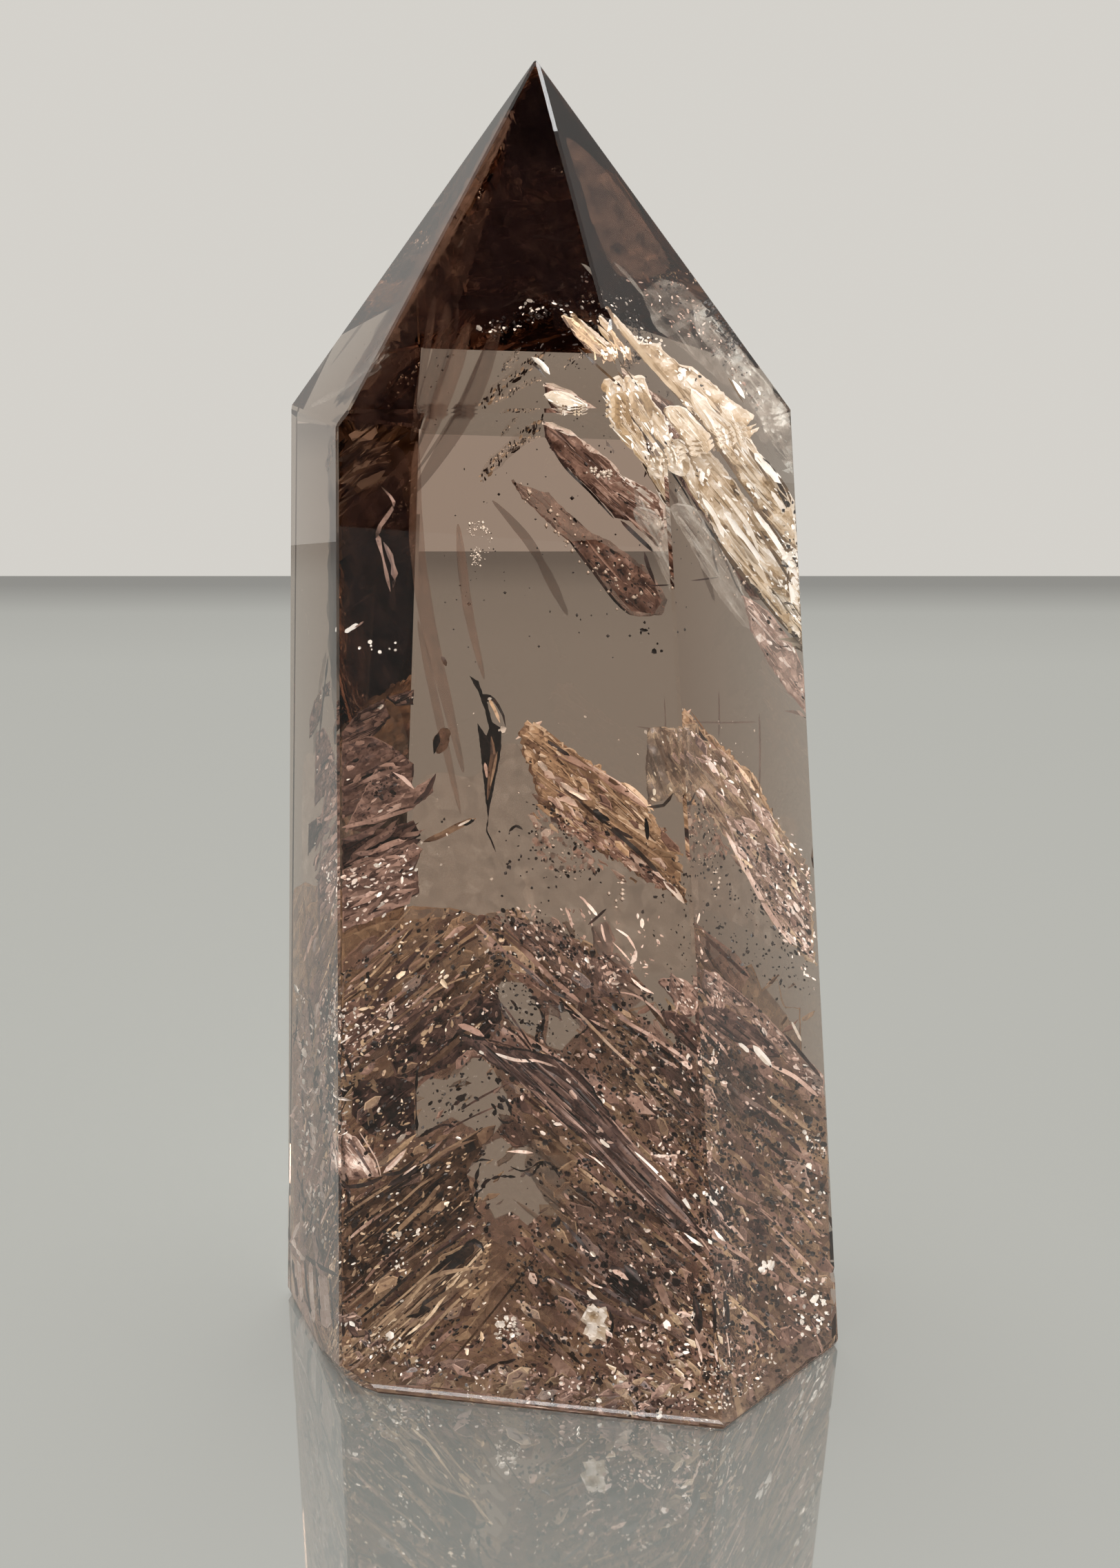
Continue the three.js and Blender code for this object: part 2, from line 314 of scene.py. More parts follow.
def within(outline: Array, points: Array) -> Array:
    """Which points lie inside a closed outline.

    Args:
        outline: its corners, one a row.
        points: the points, one a row.

    Returns:
        Whether each point lies inside.
    """
    a, b = outline, np.roll(outline, -1, axis=0)
    x, y = points[:, :1], points[:, 1:]
    rise = np.where(b[:, 1] == a[:, 1], NOT_NOUGHT, b[:, 1] - a[:, 1])
    meets = a[:, 0] + (y - a[:, 1]) * (b[:, 0] - a[:, 0]) / rise
    spans = (a[:, 1] > y) != (b[:, 1] > y)
    return (spans & (x < meets)).sum(axis=1) % 2 == 1


class Wear(Enum):
    """The finishes that an inclusion's faces wear, as numbers in FINISHES."""

    GOLDEN = 0
    MAUVE = 1
    CREAM = 2
    SPECK = 3
    GLINT = 4
    SMOKE = 5
    GOLDEN_VEIL = 6
    MAUVE_VEIL = 7
    PALE_VEIL = 8


GOLDEN, MAUVE, CREAM, SPECK, GLINT, SMOKE, GOLDEN_VEIL, MAUVE_VEIL, PALE_VEIL = Wear


class Dressing:
    """A new material, with its nodes and the links between them."""

    def __init__(self, name: str) -> None:
        """Starts a material that holds its usual shader alone.

        Args:
            name: the material's name.
        """
        self.material = bpy.data.materials.new(name)
        self.material.use_nodes = True
        self.nodes = self.material.node_tree.nodes
        self.link = self.material.node_tree.links.new
        self.shader = self.nodes["Principled BSDF"]
        self.output = self.nodes["Material Output"]

    def set(self, node: bpy.types.Node, settings: Settings) -> bpy.types.Node:
        """Sets values on a node's own inputs, by their names.

        Args:
            node: the node.
            settings: values for its inputs, by their names.

        Returns:
            The same node.
        """
        for name, value in settings.items():
            node.inputs[name].default_value = value
        return node

    def add(self, kind: str, settings: Settings | None = None) -> bpy.types.Node:
        """Adds a node.

        Args:
            kind: its type, without the words that every type starts with.
            settings: values for its inputs, by their names.

        Returns:
            The node.
        """
        return self.set(self.nodes.new("ShaderNode" + kind), settings or {})


@dataclass(frozen=True)
class ClearQuartz:
    """Clear quartz with a faint smoky tint: plain transmission, IOR and absorption."""

    tint: Colour = (0.50, 0.30, 0.15)
    density_per_m: float = 54.5

    def build(self) -> bpy.types.Material:
        """Makes the material.

        Returns:
            The material.
        """
        dress = Dressing("clear_smoky_quartz")
        clear = {"Roughness": 0.0, "IOR": QUARTZ_IOR, "Transmission Weight": 1.0}
        dress.set(dress.shader, {"Base Color": (1.0, 1.0, 1.0, 1.0), **clear})
        smoke = dress.add("VolumeAbsorption", {"Color": (*self.tint, 1.0), "Density": self.density_per_m})
        dress.link(smoke.outputs["Volume"], dress.output.inputs["Volume"])
        return dress.material


@dataclass(frozen=True)
class GrownFinish:
    """The finish of something that grew inside.

    Its tone runs from dark to pale. Fine grain and broader clouding shift the
    tone, and dots darken it where speckle is above nought.
    """

    name: str
    tones: tuple[Colour, ...]
    roughness: float = 0.42
    metallic: float = 0.0
    grain: float = 0.09
    clouding: float = 0.05
    speckle: float = 0.0
    alpha: float = 1.0
    shine: float = 0.5

    GRAIN_PER_M = 4200.0
    CLOUDS_PER_M = 700.0
    DOTS_PER_M = 2600.0
    DOT_RADII = (0.16, 0.26)
    ROUGHNESS_SPREAD = 0.15
    SMOOTHEST = 0.05
    BUMP = 0.25
    BUMP_HEIGHT = 0.04 * MM

    def shifted(self, dress: Dressing, value: Socket, source: Socket, amount: float) -> Socket:
        """Adds a pattern to a value, so that the middle of the pattern changes nothing.

        Args:
            dress: the material.
            value: what is shifted.
            source: the pattern, from 0 to 1.
            amount: how far it shifts at most.

        Returns:
            The shifted value.
        """
        wide = dress.add("Math")
        wide.operation = "MULTIPLY_ADD"
        wide.inputs[1].default_value = 2 * amount
        wide.inputs[2].default_value = -amount
        dress.link(source, wide.inputs[0])
        return self.summed(dress, wide.outputs[0], value)

    def summed(self, dress: Dressing, first: Socket, second: Socket) -> Socket:
        """The sum of two values.

        Args:
            dress: the material.
            first: one value.
            second: the other value.

        Returns:
            Their sum.
        """
        both = dress.add("Math")
        dress.link(first, both.inputs[0])
        dress.link(second, both.inputs[1])
        return both.outputs[0]

    def noise(self, dress: Dressing, place: Socket, scale: float, detail: float) -> Socket:
        """A noise pattern in the crystal.

        Args:
            dress: the material.
            place: where it is looked up.
            scale: how many a metre.
            detail: how many finer layers it has.

        Returns:
            Its value.
        """
        made = dress.add("TexNoise", {"Scale": scale, "Detail": detail})
        dress.link(place, made.inputs["Vector"])
        return made.outputs["Fac"]

    def dotted(self, dress: Dressing, value: Socket, place: Socket) -> Socket:
        """Darkens a value in small round dots.

        Args:
            dress: the material.
            value: what is darkened.
            place: where the dots are looked up.

        Returns:
            The darkened value.
        """
        dots = dress.add("TexVoronoi", {"Scale": self.DOTS_PER_M})
        dress.link(place, dots.inputs["Vector"])
        inner, outer = self.DOT_RADII
        rings = {"From Min": inner, "From Max": outer, "To Min": -self.speckle, "To Max": 0.0}
        ring = dress.add("MapRange", rings)
        dress.link(dots.outputs["Distance"], ring.inputs["Value"])
        return self.summed(dress, value, ring.outputs["Result"])

    def build(self) -> bpy.types.Material:
        """Makes the material.

        Returns:
            The material.
        """
        dress = Dressing(self.name)
        skin = {"Metallic": self.metallic, "Alpha": self.alpha, "Specular IOR Level": self.shine}
        dress.set(dress.shader, skin)
        place = dress.add("TexCoord").outputs["Object"]
        grain = self.noise(dress, place, self.GRAIN_PER_M, 3.0)
        cloud = self.noise(dress, place, self.CLOUDS_PER_M, 2.0)
        tone = dress.add("Attribute")
        tone.attribute_name = "tone"
        value = self.shifted(dress, tone.outputs["Fac"], grain, self.grain)
        value = self.shifted(dress, value, cloud, self.clouding)
        if self.speckle:
            value = self.dotted(dress, value, place)
        ramp = dress.add("ValToRGB")
        stops = ramp.color_ramp.elements
        stops[0].position, stops[0].color = 0.0, (*self.tones[0], 1.0)
        stops[1].position, stops[1].color = 1.0, (*self.tones[-1], 1.0)
        for i, colour in enumerate(self.tones[1:-1], start=1):
            stops.new(i / (len(self.tones) - 1)).color = (*colour, 1.0)
        dress.link(value, ramp.inputs["Fac"])
        dress.link(ramp.outputs["Color"], dress.shader.inputs["Base Color"])
        smoothest = max(self.roughness - self.ROUGHNESS_SPREAD, self.SMOOTHEST)
        roughest = self.roughness + self.ROUGHNESS_SPREAD
        polish = dress.add("MapRange", {"To Min": smoothest, "To Max": roughest})
        dress.link(grain, polish.inputs["Value"])
        dress.link(polish.outputs["Result"], dress.shader.inputs["Roughness"])
        bump = dress.add("Bump", {"Strength": self.BUMP, "Distance": self.BUMP_HEIGHT})
        dress.link(grain, bump.inputs["Height"])
        dress.link(bump.outputs["Normal"], dress.shader.inputs["Normal"])
        return dress.material


GOLD_TONES = (
    (0.006, 0.004, 0.003),
    (0.052, 0.026, 0.014),
    (0.144, 0.086, 0.054),
    (0.310, 0.214, 0.132),
    (0.560, 0.410, 0.262),
    (0.860, 0.760, 0.600),
)
MAUVE_TONES = (
    (0.006, 0.004, 0.003),
    (0.050, 0.026, 0.021),
    (0.136, 0.079, 0.060),
    (0.290, 0.183, 0.141),
    (0.520, 0.375, 0.305),
    (0.860, 0.770, 0.690),
)
CREAM_TONES = (
    (0.020, 0.012, 0.008),
    (0.105, 0.063, 0.033),
    (0.230, 0.155, 0.082),
    (0.360, 0.278, 0.190),
    (0.455, 0.390, 0.315),
    (0.680, 0.640, 0.585),
)
SMOKE_AND_SHADE_TONES = ((0.006, 0.003, 0.003), (0.14, 0.07, 0.042))
PALE_TONES = ((0.02, 0.014, 0.011), (0.22, 0.18, 0.145), (0.50, 0.46, 0.40), (0.84, 0.86, 0.80))
FINISHES = (
    GrownFinish("golden_feather", GOLD_TONES, speckle=0.16, shine=0.35),
    GrownFinish("mauve_feather", MAUVE_TONES, speckle=0.16, shine=0.25),
    GrownFinish("cream_blade", CREAM_TONES, roughness=0.38, grain=0.08, clouding=0.14),
    GrownFinish("dark_speck", ((0.004, 0.003, 0.003), (0.03, 0.018, 0.014)), roughness=0.3),
    # pale_glint: its pale tone paints sparkle highlights, and its slight metal shine also reflects the
    # lamps.
    GrownFinish("pale_glint", ((0.40, 0.32, 0.24), (0.80, 0.74, 0.66)), roughness=0.25, metallic=0.3),
    # The smoky finish gives the brown of the smoky streaks; on the near-black sheets in the tip and strip it
    # is also painted shade.
    GrownFinish("smoky_ray", SMOKE_AND_SHADE_TONES, roughness=0.8, alpha=0.48, shine=0.0),
    GrownFinish("golden_veil", GOLD_TONES, clouding=0.09, speckle=0.10, alpha=0.62),
    GrownFinish("mauve_veil", MAUVE_TONES, clouding=0.09, speckle=0.10, alpha=0.62),
    GrownFinish("pale_veil", PALE_TONES, clouding=0.08, alpha=0.26),
)


class Gathered:
    """Many small faces that are gathered into one mesh, each with a tone and a finish."""

    MARGIN = 0.12 * MM
    MARK_CORNERS = np.array([[-1, 0], [-0.45, 1], [0.5, 0.9], [1, 0], [0.4, -0.9], [-0.5, -1]])
    MARK_FOLD = np.array([0, 1, 1, 0, 1, 1])
    BEAD_CORNERS = np.array([[1, 0, 0], [0, 1, 0], [-1, 0, 0], [0, -1, 0], [0, 0, 1], [0, 0, -1]])
    BEAD_SIDES = ((0, 1, 4), (1, 2, 4), (2, 3, 4), (3, 0, 4), (1, 0, 5), (2, 1, 5), (3, 2, 5), (0, 3, 5))
    CORNER_STRAY = 0.2
    MOST_FOLDED = 0.4
    BEAD_STRETCH = (0.7, 1.4)
    MARK_TONE_SPREAD = 0.05
    BEAD_TONE_SPREAD = 0.1
    MAP_SQUARE = np.array([[0.12, 0.12], [0.88, 0.12], [0.88, 0.88], [0.12, 0.88]])

    def __init__(self, name: str, space: CrystalSpace, seed: int) -> None:
        """Starts an empty piece.

        Args:
            name: the piece's name.
            space: the inside of the crystal.
            seed: what its chance starts from.
        """
        self.name = name
        self.space = space
        self.rng = np.random.default_rng(seed)
        self.points: list[Array] = []
        self.faces: list[Array] = []
        self.tones: list[Array] = []
        self.wears: list[Array] = []
        self.count = 0

    def add(self, points: Array, faces: Array, tones: Array, wear: Wear) -> None:
        """Adds faces.

        Args:
            points: the corners' places.
            faces: four numbers of points a row, or three with the last one repeated.
            tones: a tone for each face.
            wear: the finish of all of them.
        """
        self.points.append(points)
        self.faces.append(faces + self.count)
        self.tones.append(np.clip(tones, 0, 1))
        self.wears.append(np.full(len(faces), wear.value))
        self.count += len(points)

    def add_drawn(self, pixels: Array, deep: Array, faces: Array, tones: Array, wear: Wear) -> None:
        """Adds faces that are drawn on the photograph, each seen through one face of the crystal.

        Args:
            pixels: the corners' pixels.
            deep: how deep each corner lies, in millimetres.
            faces: four corners a row, or three with the last one repeated.
            tones: a tone for each face.
            wear: the finish of all of them.
        """
        if not len(faces):
            return
        middles = pixels[faces].mean(axis=1)
        met = self.space.met(middles[:, 0], middles[:, 1])
        sides = len(self.space.reaches)
        used, inverse = np.unique(faces * sides + met[:, None], return_inverse=True)
        corner, side = used // sides, used % sides
        spots = self.space.place(pixels[corner, 0], pixels[corner, 1], deep[corner], side)
        self.add(spots, inverse.reshape(-1, 4), tones, wear)

    def add_marks(
        self, pixels: Array, deep: Array, length: Array, width: Array, turn: Array, tip: Array, tones: Array,
        wear: Wear,
    ) -> None:
        """Adds slim flat marks, each folded along its middle.

        Args:
            pixels: their middles.
            deep: how deep they lie, in millimetres.
            length: their lengths in pixels.
            width: their widths in pixels.
            turn: how far each runs down to the right, in radians.
            tip: how steeply each dips away from the camera.
            tones: their tones.
            wear: their finish.
        """
        n = len(pixels)
        if not n:
            return
        x, y = pixels.T
        met = self.space.met(x, y)
        here = self.space.place(x, y, deep, met)
        right = self.space.place(x + 1, y, deep, met) - here
        down = self.space.place(x, y + 1, deep, met) - here
        into = self.space.sight(x, y, met)[1] * np.linalg.norm(right, axis=1, keepdims=True)
        stray = self.rng.uniform(-self.CORNER_STRAY, self.CORNER_STRAY, (n, 6, 2))
        spread = self.MARK_CORNERS[None] + stray
        run = spread[..., 0] * length[:, None] / 2
        over = spread[..., 1] * width[:, None] / 2
        cos, sin = np.cos(turn)[:, None], np.sin(turn)[:, None]
        folded = self.rng.uniform(-self.MOST_FOLDED, self.MOST_FOLDED, (n, 1))
        fold = self.MARK_FOLD * width[:, None] * folded
        dip = run * tip[:, None] + fold
        points = (
            here[:, None]
            + right[:, None] * (run * cos - over * sin)[..., None]
            + down[:, None] * (run * sin + over * cos)[..., None]
            + into[:, None] * dip[..., None]
        )
        base = np.arange(n)[:, None] * 6
        faces = np.concatenate([base + np.array([0, 1, 2, 3]), base + np.array([0, 3, 4, 5])])
        jitter = self.rng.normal(0, self.MARK_TONE_SPREAD, 2 * n)
        self.add(points.reshape(-1, 3), faces, np.tile(tones, 2) + jitter, wear)

    def add_beads(self, pixels: Array, deep: Array, size: Array, tones: Array, wear: Wear) -> None:
        """Adds small eight-sided grains, each a little stretched.

        Args:
            pixels: their middles.
            deep: how deep they lie, in millimetres.
            size: how wide they are, in pixels.
            tones: their tones.
            wear: their finish.
        """
        n = len(pixels)
        if not n:
            return
        x, y = pixels.T
        met = self.space.met(x, y)
        here = self.space.place(x, y, deep, met)
        pixel = np.linalg.norm(self.space.place(x + 1, y, deep, met) - here, axis=1)
        stretch = self.rng.uniform(*self.BEAD_STRETCH, (n, 3)) * (size * pixel / 2)[:, None]
        points = here[:, None] + self.BEAD_CORNERS[None] * stretch[:, None]
        base = np.arange(n)[:, None] * 6
        faces = np.concatenate([base + np.array([a, b, c, c]) for a, b, c in self.BEAD_SIDES])
        jitter = self.rng.normal(0, self.BEAD_TONE_SPREAD, 8 * n)
        self.add(points.reshape(-1, 3), faces, np.tile(tones, 8) + jitter, wear)

    def build(self, slot: str, stands_for: str) -> bpy.types.Object:
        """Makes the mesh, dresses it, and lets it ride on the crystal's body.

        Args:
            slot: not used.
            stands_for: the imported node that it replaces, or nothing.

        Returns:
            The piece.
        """
        points = self.space.kept_inside(np.concatenate(self.points), self.MARGIN)
        faces = np.concatenate(self.faces)
        tones = np.concatenate(self.tones)
        used, wears = np.unique(np.concatenate(self.wears), return_inverse=True)
        rows = [tuple(row[:3]) if row[2] == row[3] else tuple(row) for row in faces.tolist()]
        mesh = bpy.data.meshes.new(self.name)
        mesh.from_pydata(points.tolist(), [], rows)
        for number in used:
            finish = FINISHES[number]
            mesh.materials.append(bpy.data.materials.get(finish.name) or finish.build())
        mesh.polygons.foreach_set("material_index", wears.astype(np.int32))
        mesh.polygons.foreach_set("use_smooth", np.ones(len(rows), bool))
        tone = mesh.attributes.new("tone", "FLOAT", "FACE")
        tone.data.foreach_set("value", tones.astype(np.float32))
        self.lay_out(mesh, len(rows))
        piece = bpy.data.objects.new(self.name, mesh)
        bpy.context.scene.collection.objects.link(piece)
        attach(piece, CRYSTAL_BODY)
        if stands_for:
            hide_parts(stands_for)
        triangles = sum(len(row) - 2 for row in rows)
        LOG.info("%s: %d faces, %d triangles", self.name, len(rows), triangles)
        return piece

    def lay_out(self, mesh: bpy.types.Mesh, count: int) -> None:
        """Gives each face a small square of its own in the OFBake map.

        Args:
            mesh: the piece's mesh.
            count: how many faces it has.
        """
        side = math.ceil(math.sqrt(count))
        layer = mesh.uv_layers.new(name="OFBake")
        starts = np.zeros(count, np.int32)
        sizes = np.zeros(count, np.int32)
        mesh.polygons.foreach_get("loop_start", starts)
        mesh.polygons.foreach_get("loop_total", sizes)
        owner = np.repeat(np.arange(count), sizes)
        turn = np.arange(len(owner)) - starts[owner]
        cell = np.stack([owner % side, owner // side], axis=1)
        layer.data.foreach_set("uv", ((cell + self.MAP_SQUARE[turn]) / side).astype(np.float32).ravel())


class Grown(Protocol):
    """Anything that can be added to a piece."""

    def grow(self, piece: Gathered) -> None:
        """Adds itself to a piece."""


Parts = tuple[Grown, ...]


@dataclass(frozen=True)
class Strewn:
    """Many small marks or grains in one region of the photograph.

    turn is how far they run down to the right, in degrees, and scatter is how
    much that varies. thick is the range of depths that they lie in. clear
    holds the outlines that none of them lies in.
    """

    region: Outline
    count: int
    deep: float
    length_px: float = 5.0
    ratio: float = 0.35
    turn: float = 40.0
    scatter: float = 25.0
    tone: float = 0.4
    tone_spread: float = 0.10
    wear: Wear = SPECK
    thick: float = 2.0
    dip: float = 0.4
    beads: bool = False
    clear: tuple[Outline, ...] = ()
    bunched: float = 0.0

    TRIES = 6
    BUNCHES_PX = (55.0, 55.0)
    SMALL_BUNCHES_PX = (18.0, 18.0)
    SMALL_BUNCHES = 0.6
    BUNCHING = 2.5
    SIZES = (-0.35, 0.38)
    WIDTHS = (0.7, 1.4)

    def grow(self, piece: Gathered) -> None:
        """Adds the marks to a piece.

        Args:
            piece: the piece that it is added to.
        """
        rng = piece.rng
        outline = pixels_of(self.region)
        low, high = outline.min(axis=0), outline.max(axis=0)
        pixels = rng.uniform(low, high, (self.TRIES * self.count, 2))
        wanted = within(outline, pixels)
        for hole in self.clear:
            wanted &= ~within(pixels_of(hole), pixels)
        if self.bunched:
            bunches = Drift(rng, self.BUNCHES_PX)(pixels)
            bunches = bunches + self.SMALL_BUNCHES * Drift(rng, self.SMALL_BUNCHES_PX)(pixels)
            wanted &= rng.random(len(pixels)) < 1 / (1 + np.exp(-self.BUNCHING * self.bunched * bunches))
        pixels = pixels[wanted][: self.count]
        n = len(pixels)
        deep = self.deep + rng.uniform(-0.5, 0.5, n) * self.thick
        size = self.length_px * rng.lognormal(*self.SIZES, n)
        tones = self.tone + rng.normal(0, self.tone_spread, n)
        if self.beads:
            piece.add_beads(pixels, deep, size, tones, self.wear)
            return
        turn = np.radians(self.turn + rng.normal(0, self.scatter, n))
        width = size * self.ratio * rng.uniform(*self.WIDTHS, n)
        piece.add_marks(pixels, deep, size, width, turn, rng.normal(0, self.dip, n), tones, self.wear)


@dataclass(frozen=True)
class Ribbon:
    """A strip that follows a line of pixels.

    taper is the share of its length that narrows at each end, and cut slants
    its ends. streak varies the tone along and across it, and upper and lower
    are what the tone rises by at its edges that face up and down, rim_px wide:
    a pale upper edge is a painted highlight and a dark lower edge painted shade.
    """

    line: Outline
    width_px: float
    deep: float
    tone: float = 0.5
    wear: Wear = GOLDEN
    taper: Span = (0.25, 0.25)
    cut: float = 0.0
    dive: float = 0.0
    lean: float = 0.2
    streak: float = 0.05
    upper: float = 0.0
    lower: float = 0.0
    rim_px: float = 2.2
    column_px: float = 3.5
    row_px: float = 9.0
    wobble: float = 0.06

    NARROWEST = 0.12
    UPRIGHT = 0.97
    WOBBLE_LENGTH = (0.35,)
    TONE_SPREAD = 0.02
    STREAKS_PX = (90.0, 7.0)
    WAVES_PX = (70.0, 18.0)
    WAVES_MM = 0.06

    def grow(self, piece: Gathered) -> None:
        """Adds the strip to a piece.

        Args:
            piece: the piece that it is added to.
        """
        rng = piece.rng
        line = drawn_line(self.line, self.row_px, False, True)
        if len(line) < 4:
            line = drawn_line(self.line, self.row_px / 3, False, True)
        run = np.gradient(line, axis=0)
        run /= np.maximum(np.linalg.norm(run, axis=1, keepdims=True), NOT_NOUGHT)
        out = np.stack([run[:, 1], -run[:, 0]], axis=1)
        out *= np.where(out[:, 1:] > 0, -1, 1) if abs(run[:, 1].mean()) < self.UPRIGHT else 1
        s = np.linspace(0, 1, len(line))
        half = self.width_px / 2
        first, last = (max(share, 1e-3) for share in self.taper)
        widen = np.clip(s / first, 0, 1) * np.clip((1 - s) / last, 0, 1)
        widen = np.maximum(np.sqrt(widen), self.NARROWEST)
        widen = widen * (1 + self.wobble * Drift(rng, self.WOBBLE_LENGTH)(s[:, None]))
        columns = max(int(self.width_px / self.column_px), 1)
        c = np.linspace(-1, 1, columns + 1)
        if columns > 2 and (self.upper or self.lower):
            edge = min(self.rim_px / half, 0.4)
            c = np.concatenate([[-1], np.linspace(-1 + edge, 1 - edge, columns - 1), [1]])
        slant = np.repeat(self.cut * half * c[None], len(line), axis=0)
        ends = np.abs(2 * s - 1)[:, None] ** 3
        grid = line[:, None] + out[:, None] * (c[None] * half * widen[:, None])[..., None]
        grid = grid + run[:, None] * (slant * ends)[..., None]
        length = float(np.linalg.norm(np.diff(line, axis=0), axis=1).sum())
        flat = np.stack(np.meshgrid(s * length, c * half, indexing="ij"), axis=-1)
        deep = self.deep + self.dive * flat[..., 0] / 100 + self.lean * flat[..., 1] / 20
        deep = deep + self.WAVES_MM * Drift(rng, self.WAVES_PX)(flat)
        middle = (flat[:-1, :-1] + flat[1:, 1:]) / 2
        tones = self.tone + self.streak * Drift(rng, self.STREAKS_PX)(middle)
        tones = tones + rng.normal(0, self.TONE_SPREAD, tones.shape)
        # The edges that face up and down take painted highlight and painted shade.
        if columns > 2:
            tones[:, -1] += self.upper
            tones[:, 0] += self.lower
        numbers = np.arange(grid.shape[0] * grid.shape[1]).reshape(grid.shape[:2])
        cells = np.stack([numbers[:-1, :-1], numbers[1:, :-1], numbers[1:, 1:], numbers[:-1, 1:]], axis=-1)
        piece.add_drawn(grid.reshape(-1, 2), deep.ravel(), cells.reshape(-1, 4), tones.ravel(), self.wear)


@dataclass(frozen=True)
class Plate:
    """A thin plate with an outline of pixels.

    turn is the way that its streaks run, in degrees down to the right. dive
    and lean are the millimetres that it goes deeper in 100 pixels along and
    across the streaks. windows are outlines that it leaves open. upper and
    lower are what the tone rises by in narrow strips along its edges that face
    up and down: a pale upper strip is a painted highlight and a dark lower strip
    painted shade. flecks are their number, their length in pixels and their tone.
    """

    outline: Outline
    deep: float
    tone: float = 0.5
    wear: Wear = GOLDEN
    turn: float = 40.0
    dive: float = 0.0
    lean: float = 0.0
    streak: float = 0.05
    streak_px: Span = (90.0, 9.0)
    patch: float = 0.04
    shade: float = 0.0
    fade: float = 0.0
    relief: float = 0.07
    upper: float | None = None
    lower: float | None = None
    rim_px: float = 3.0
    cell_px: float = 5.0
    curved: bool = False
    rough_px: float = 0.6
    windows: tuple[Outline, ...] = ()
    lines: int = 0
    line_px: float = 40.0
    specks: int = 0
    flecks: Flecks = (0, 8.0, 0.85)

    PATCHES_PX = (45.0, 45.0)
    WAVES_PX = (60.0, 30.0)
    RIM_WAVES_PX = (14.0,)
    RIM_ABOVE_MM = 0.12
    RIM_SHARES = (0.25, 2)
    RIM_FACING = 0.35
    TONE_SPREAD = 0.015
    RIM_TONE_SPREAD = 0.04
    CELL_STRETCH = 1.5
    CELL_STRAY = 0.35
    CELL_GAP = 0.55
    RIM_BATCH = 64
    CUT_LIMIT_PX = 1e-4
    STREWN_TRIES = 8
    STREWN_REACH = 0.45
    STREWN_ABOVE_MM = (0.1, 0.35)
    STREWN_WIDTHS = (0.6, 1.5)
    STREWN_DIP = 0.15

    def grow(self, piece: Gathered) -> None:
        """Adds the plate, and what lies on it, to a piece.

        Args:
            piece: the piece that it is added to.
        """
        rng = piece.rng
        rings = [drawn_line(self.outline, self.cell_px, True, self.curved)]
        rings += [drawn_line(window, self.cell_px, True, False) for window in self.windows]
        for ring in rings:
            ring += rng.normal(0, self.rough_px, ring.shape)
        pixels, faces = self.cut_up(rings, rng)
        middles = pixels[faces].mean(axis=1)
        local = self.local(middles)
        tones = (
            self.tone
            + self.streak * Drift(rng, self.streak_px)(local)
            + self.patch * Drift(rng, self.PATCHES_PX)(local)
            + self.shade * local[:, 0] / 100
            + self.fade * local[:, 1] / 100
            + rng.normal(0, self.TONE_SPREAD, len(faces))
        )
        deep = self.depth(pixels) + self.relief * Drift(rng, self.WAVES_PX)(self.local(pixels))
        rows = np.concatenate([faces, faces[:, 2:]], axis=1)
        piece.add_drawn(pixels, deep, rows, tones, self.wear)
        self.edge(piece, rings[0])
        self.strew(piece)

    @property
    def middle(self) -> Array:
        """The middle of the plate's outline."""
        return pixels_of(self.outline).mean(axis=0)

    def local(self, pixels: Array) -> Array:
        """Pixels along and across the streaks, from the middle.

        Args:
            pixels: pixels of the photograph, one a row.

        Returns:
            How far along and how far across, one a row.
        """
        along, across = along_and_across(self.turn)
        away = pixels - self.middle
        return np.stack([away @ along, away @ across], axis=-1)

    def depth(self, pixels: Array) -> Array:
        """How deep the plate lies at pixels, in millimetres."""
        return self.deep + self.local(pixels) @ [self.dive / 100, self.lean / 100]

    def cut_up(self, rings: list[Array], rng: np.random.Generator) -> tuple[Array, Array]:
        """Cuts the plate into small triangles.

        Args:
            rings: the outline, and the outlines of its windows.
            rng: the source of chance.

        Returns:
            The corners' pixels, and three corners a row.
        """
        low, high = rings[0].min(axis=0), rings[0].max(axis=0)
        reach = float(np.linalg.norm(high - low)) / 2
        along = np.arange(-reach, reach, self.CELL_STRETCH * self.cell_px)
        across = np.arange(-reach, reach, self.cell_px)
        flat = np.stack(np.meshgrid(along, across), axis=-1).reshape(-1, 2)
        flat += rng.uniform(-self.CELL_STRAY, self.CELL_STRAY, flat.shape) * self.cell_px
        grid = (low + high) / 2 + flat @ along_and_across(self.turn)
        rims = np.concatenate(rings)
        grid = grid[within(rings[0], grid)]
        for ring in rings[1:]:
            grid = grid[~within(ring, grid)]
        near = np.full(len(grid), np.inf)
        for start in range(0, len(rims), self.RIM_BATCH):
            batch = rims[None, start : start + self.RIM_BATCH]
            gaps = np.linalg.norm(grid[:, None] - batch, axis=2)
            near = np.minimum(near, gaps.min(axis=1))
        grid = grid[near > self.CELL_GAP * self.cell_px]
        edges, first = [], 0
        for ring in rings:
            last = first + len(ring)
            edges += [(k, k + 1 if k + 1 < last else first) for k in range(first, last)]
            first = last
        corners = [Vector(pixel) for pixel in np.concatenate([rims, grid])]
        found, _, triangles, *_ = delaunay_2d_cdt(corners, edges, [], 0, self.CUT_LIMIT_PX)
        pixels = np.array([tuple(corner) for corner in found])
        faces = np.array(triangles)
        middles = pixels[faces].mean(axis=1)
        kept = within(rings[0], middles)
        for ring in rings[1:]:
            kept &= ~within(ring, middles)
        return pixels, faces[kept]

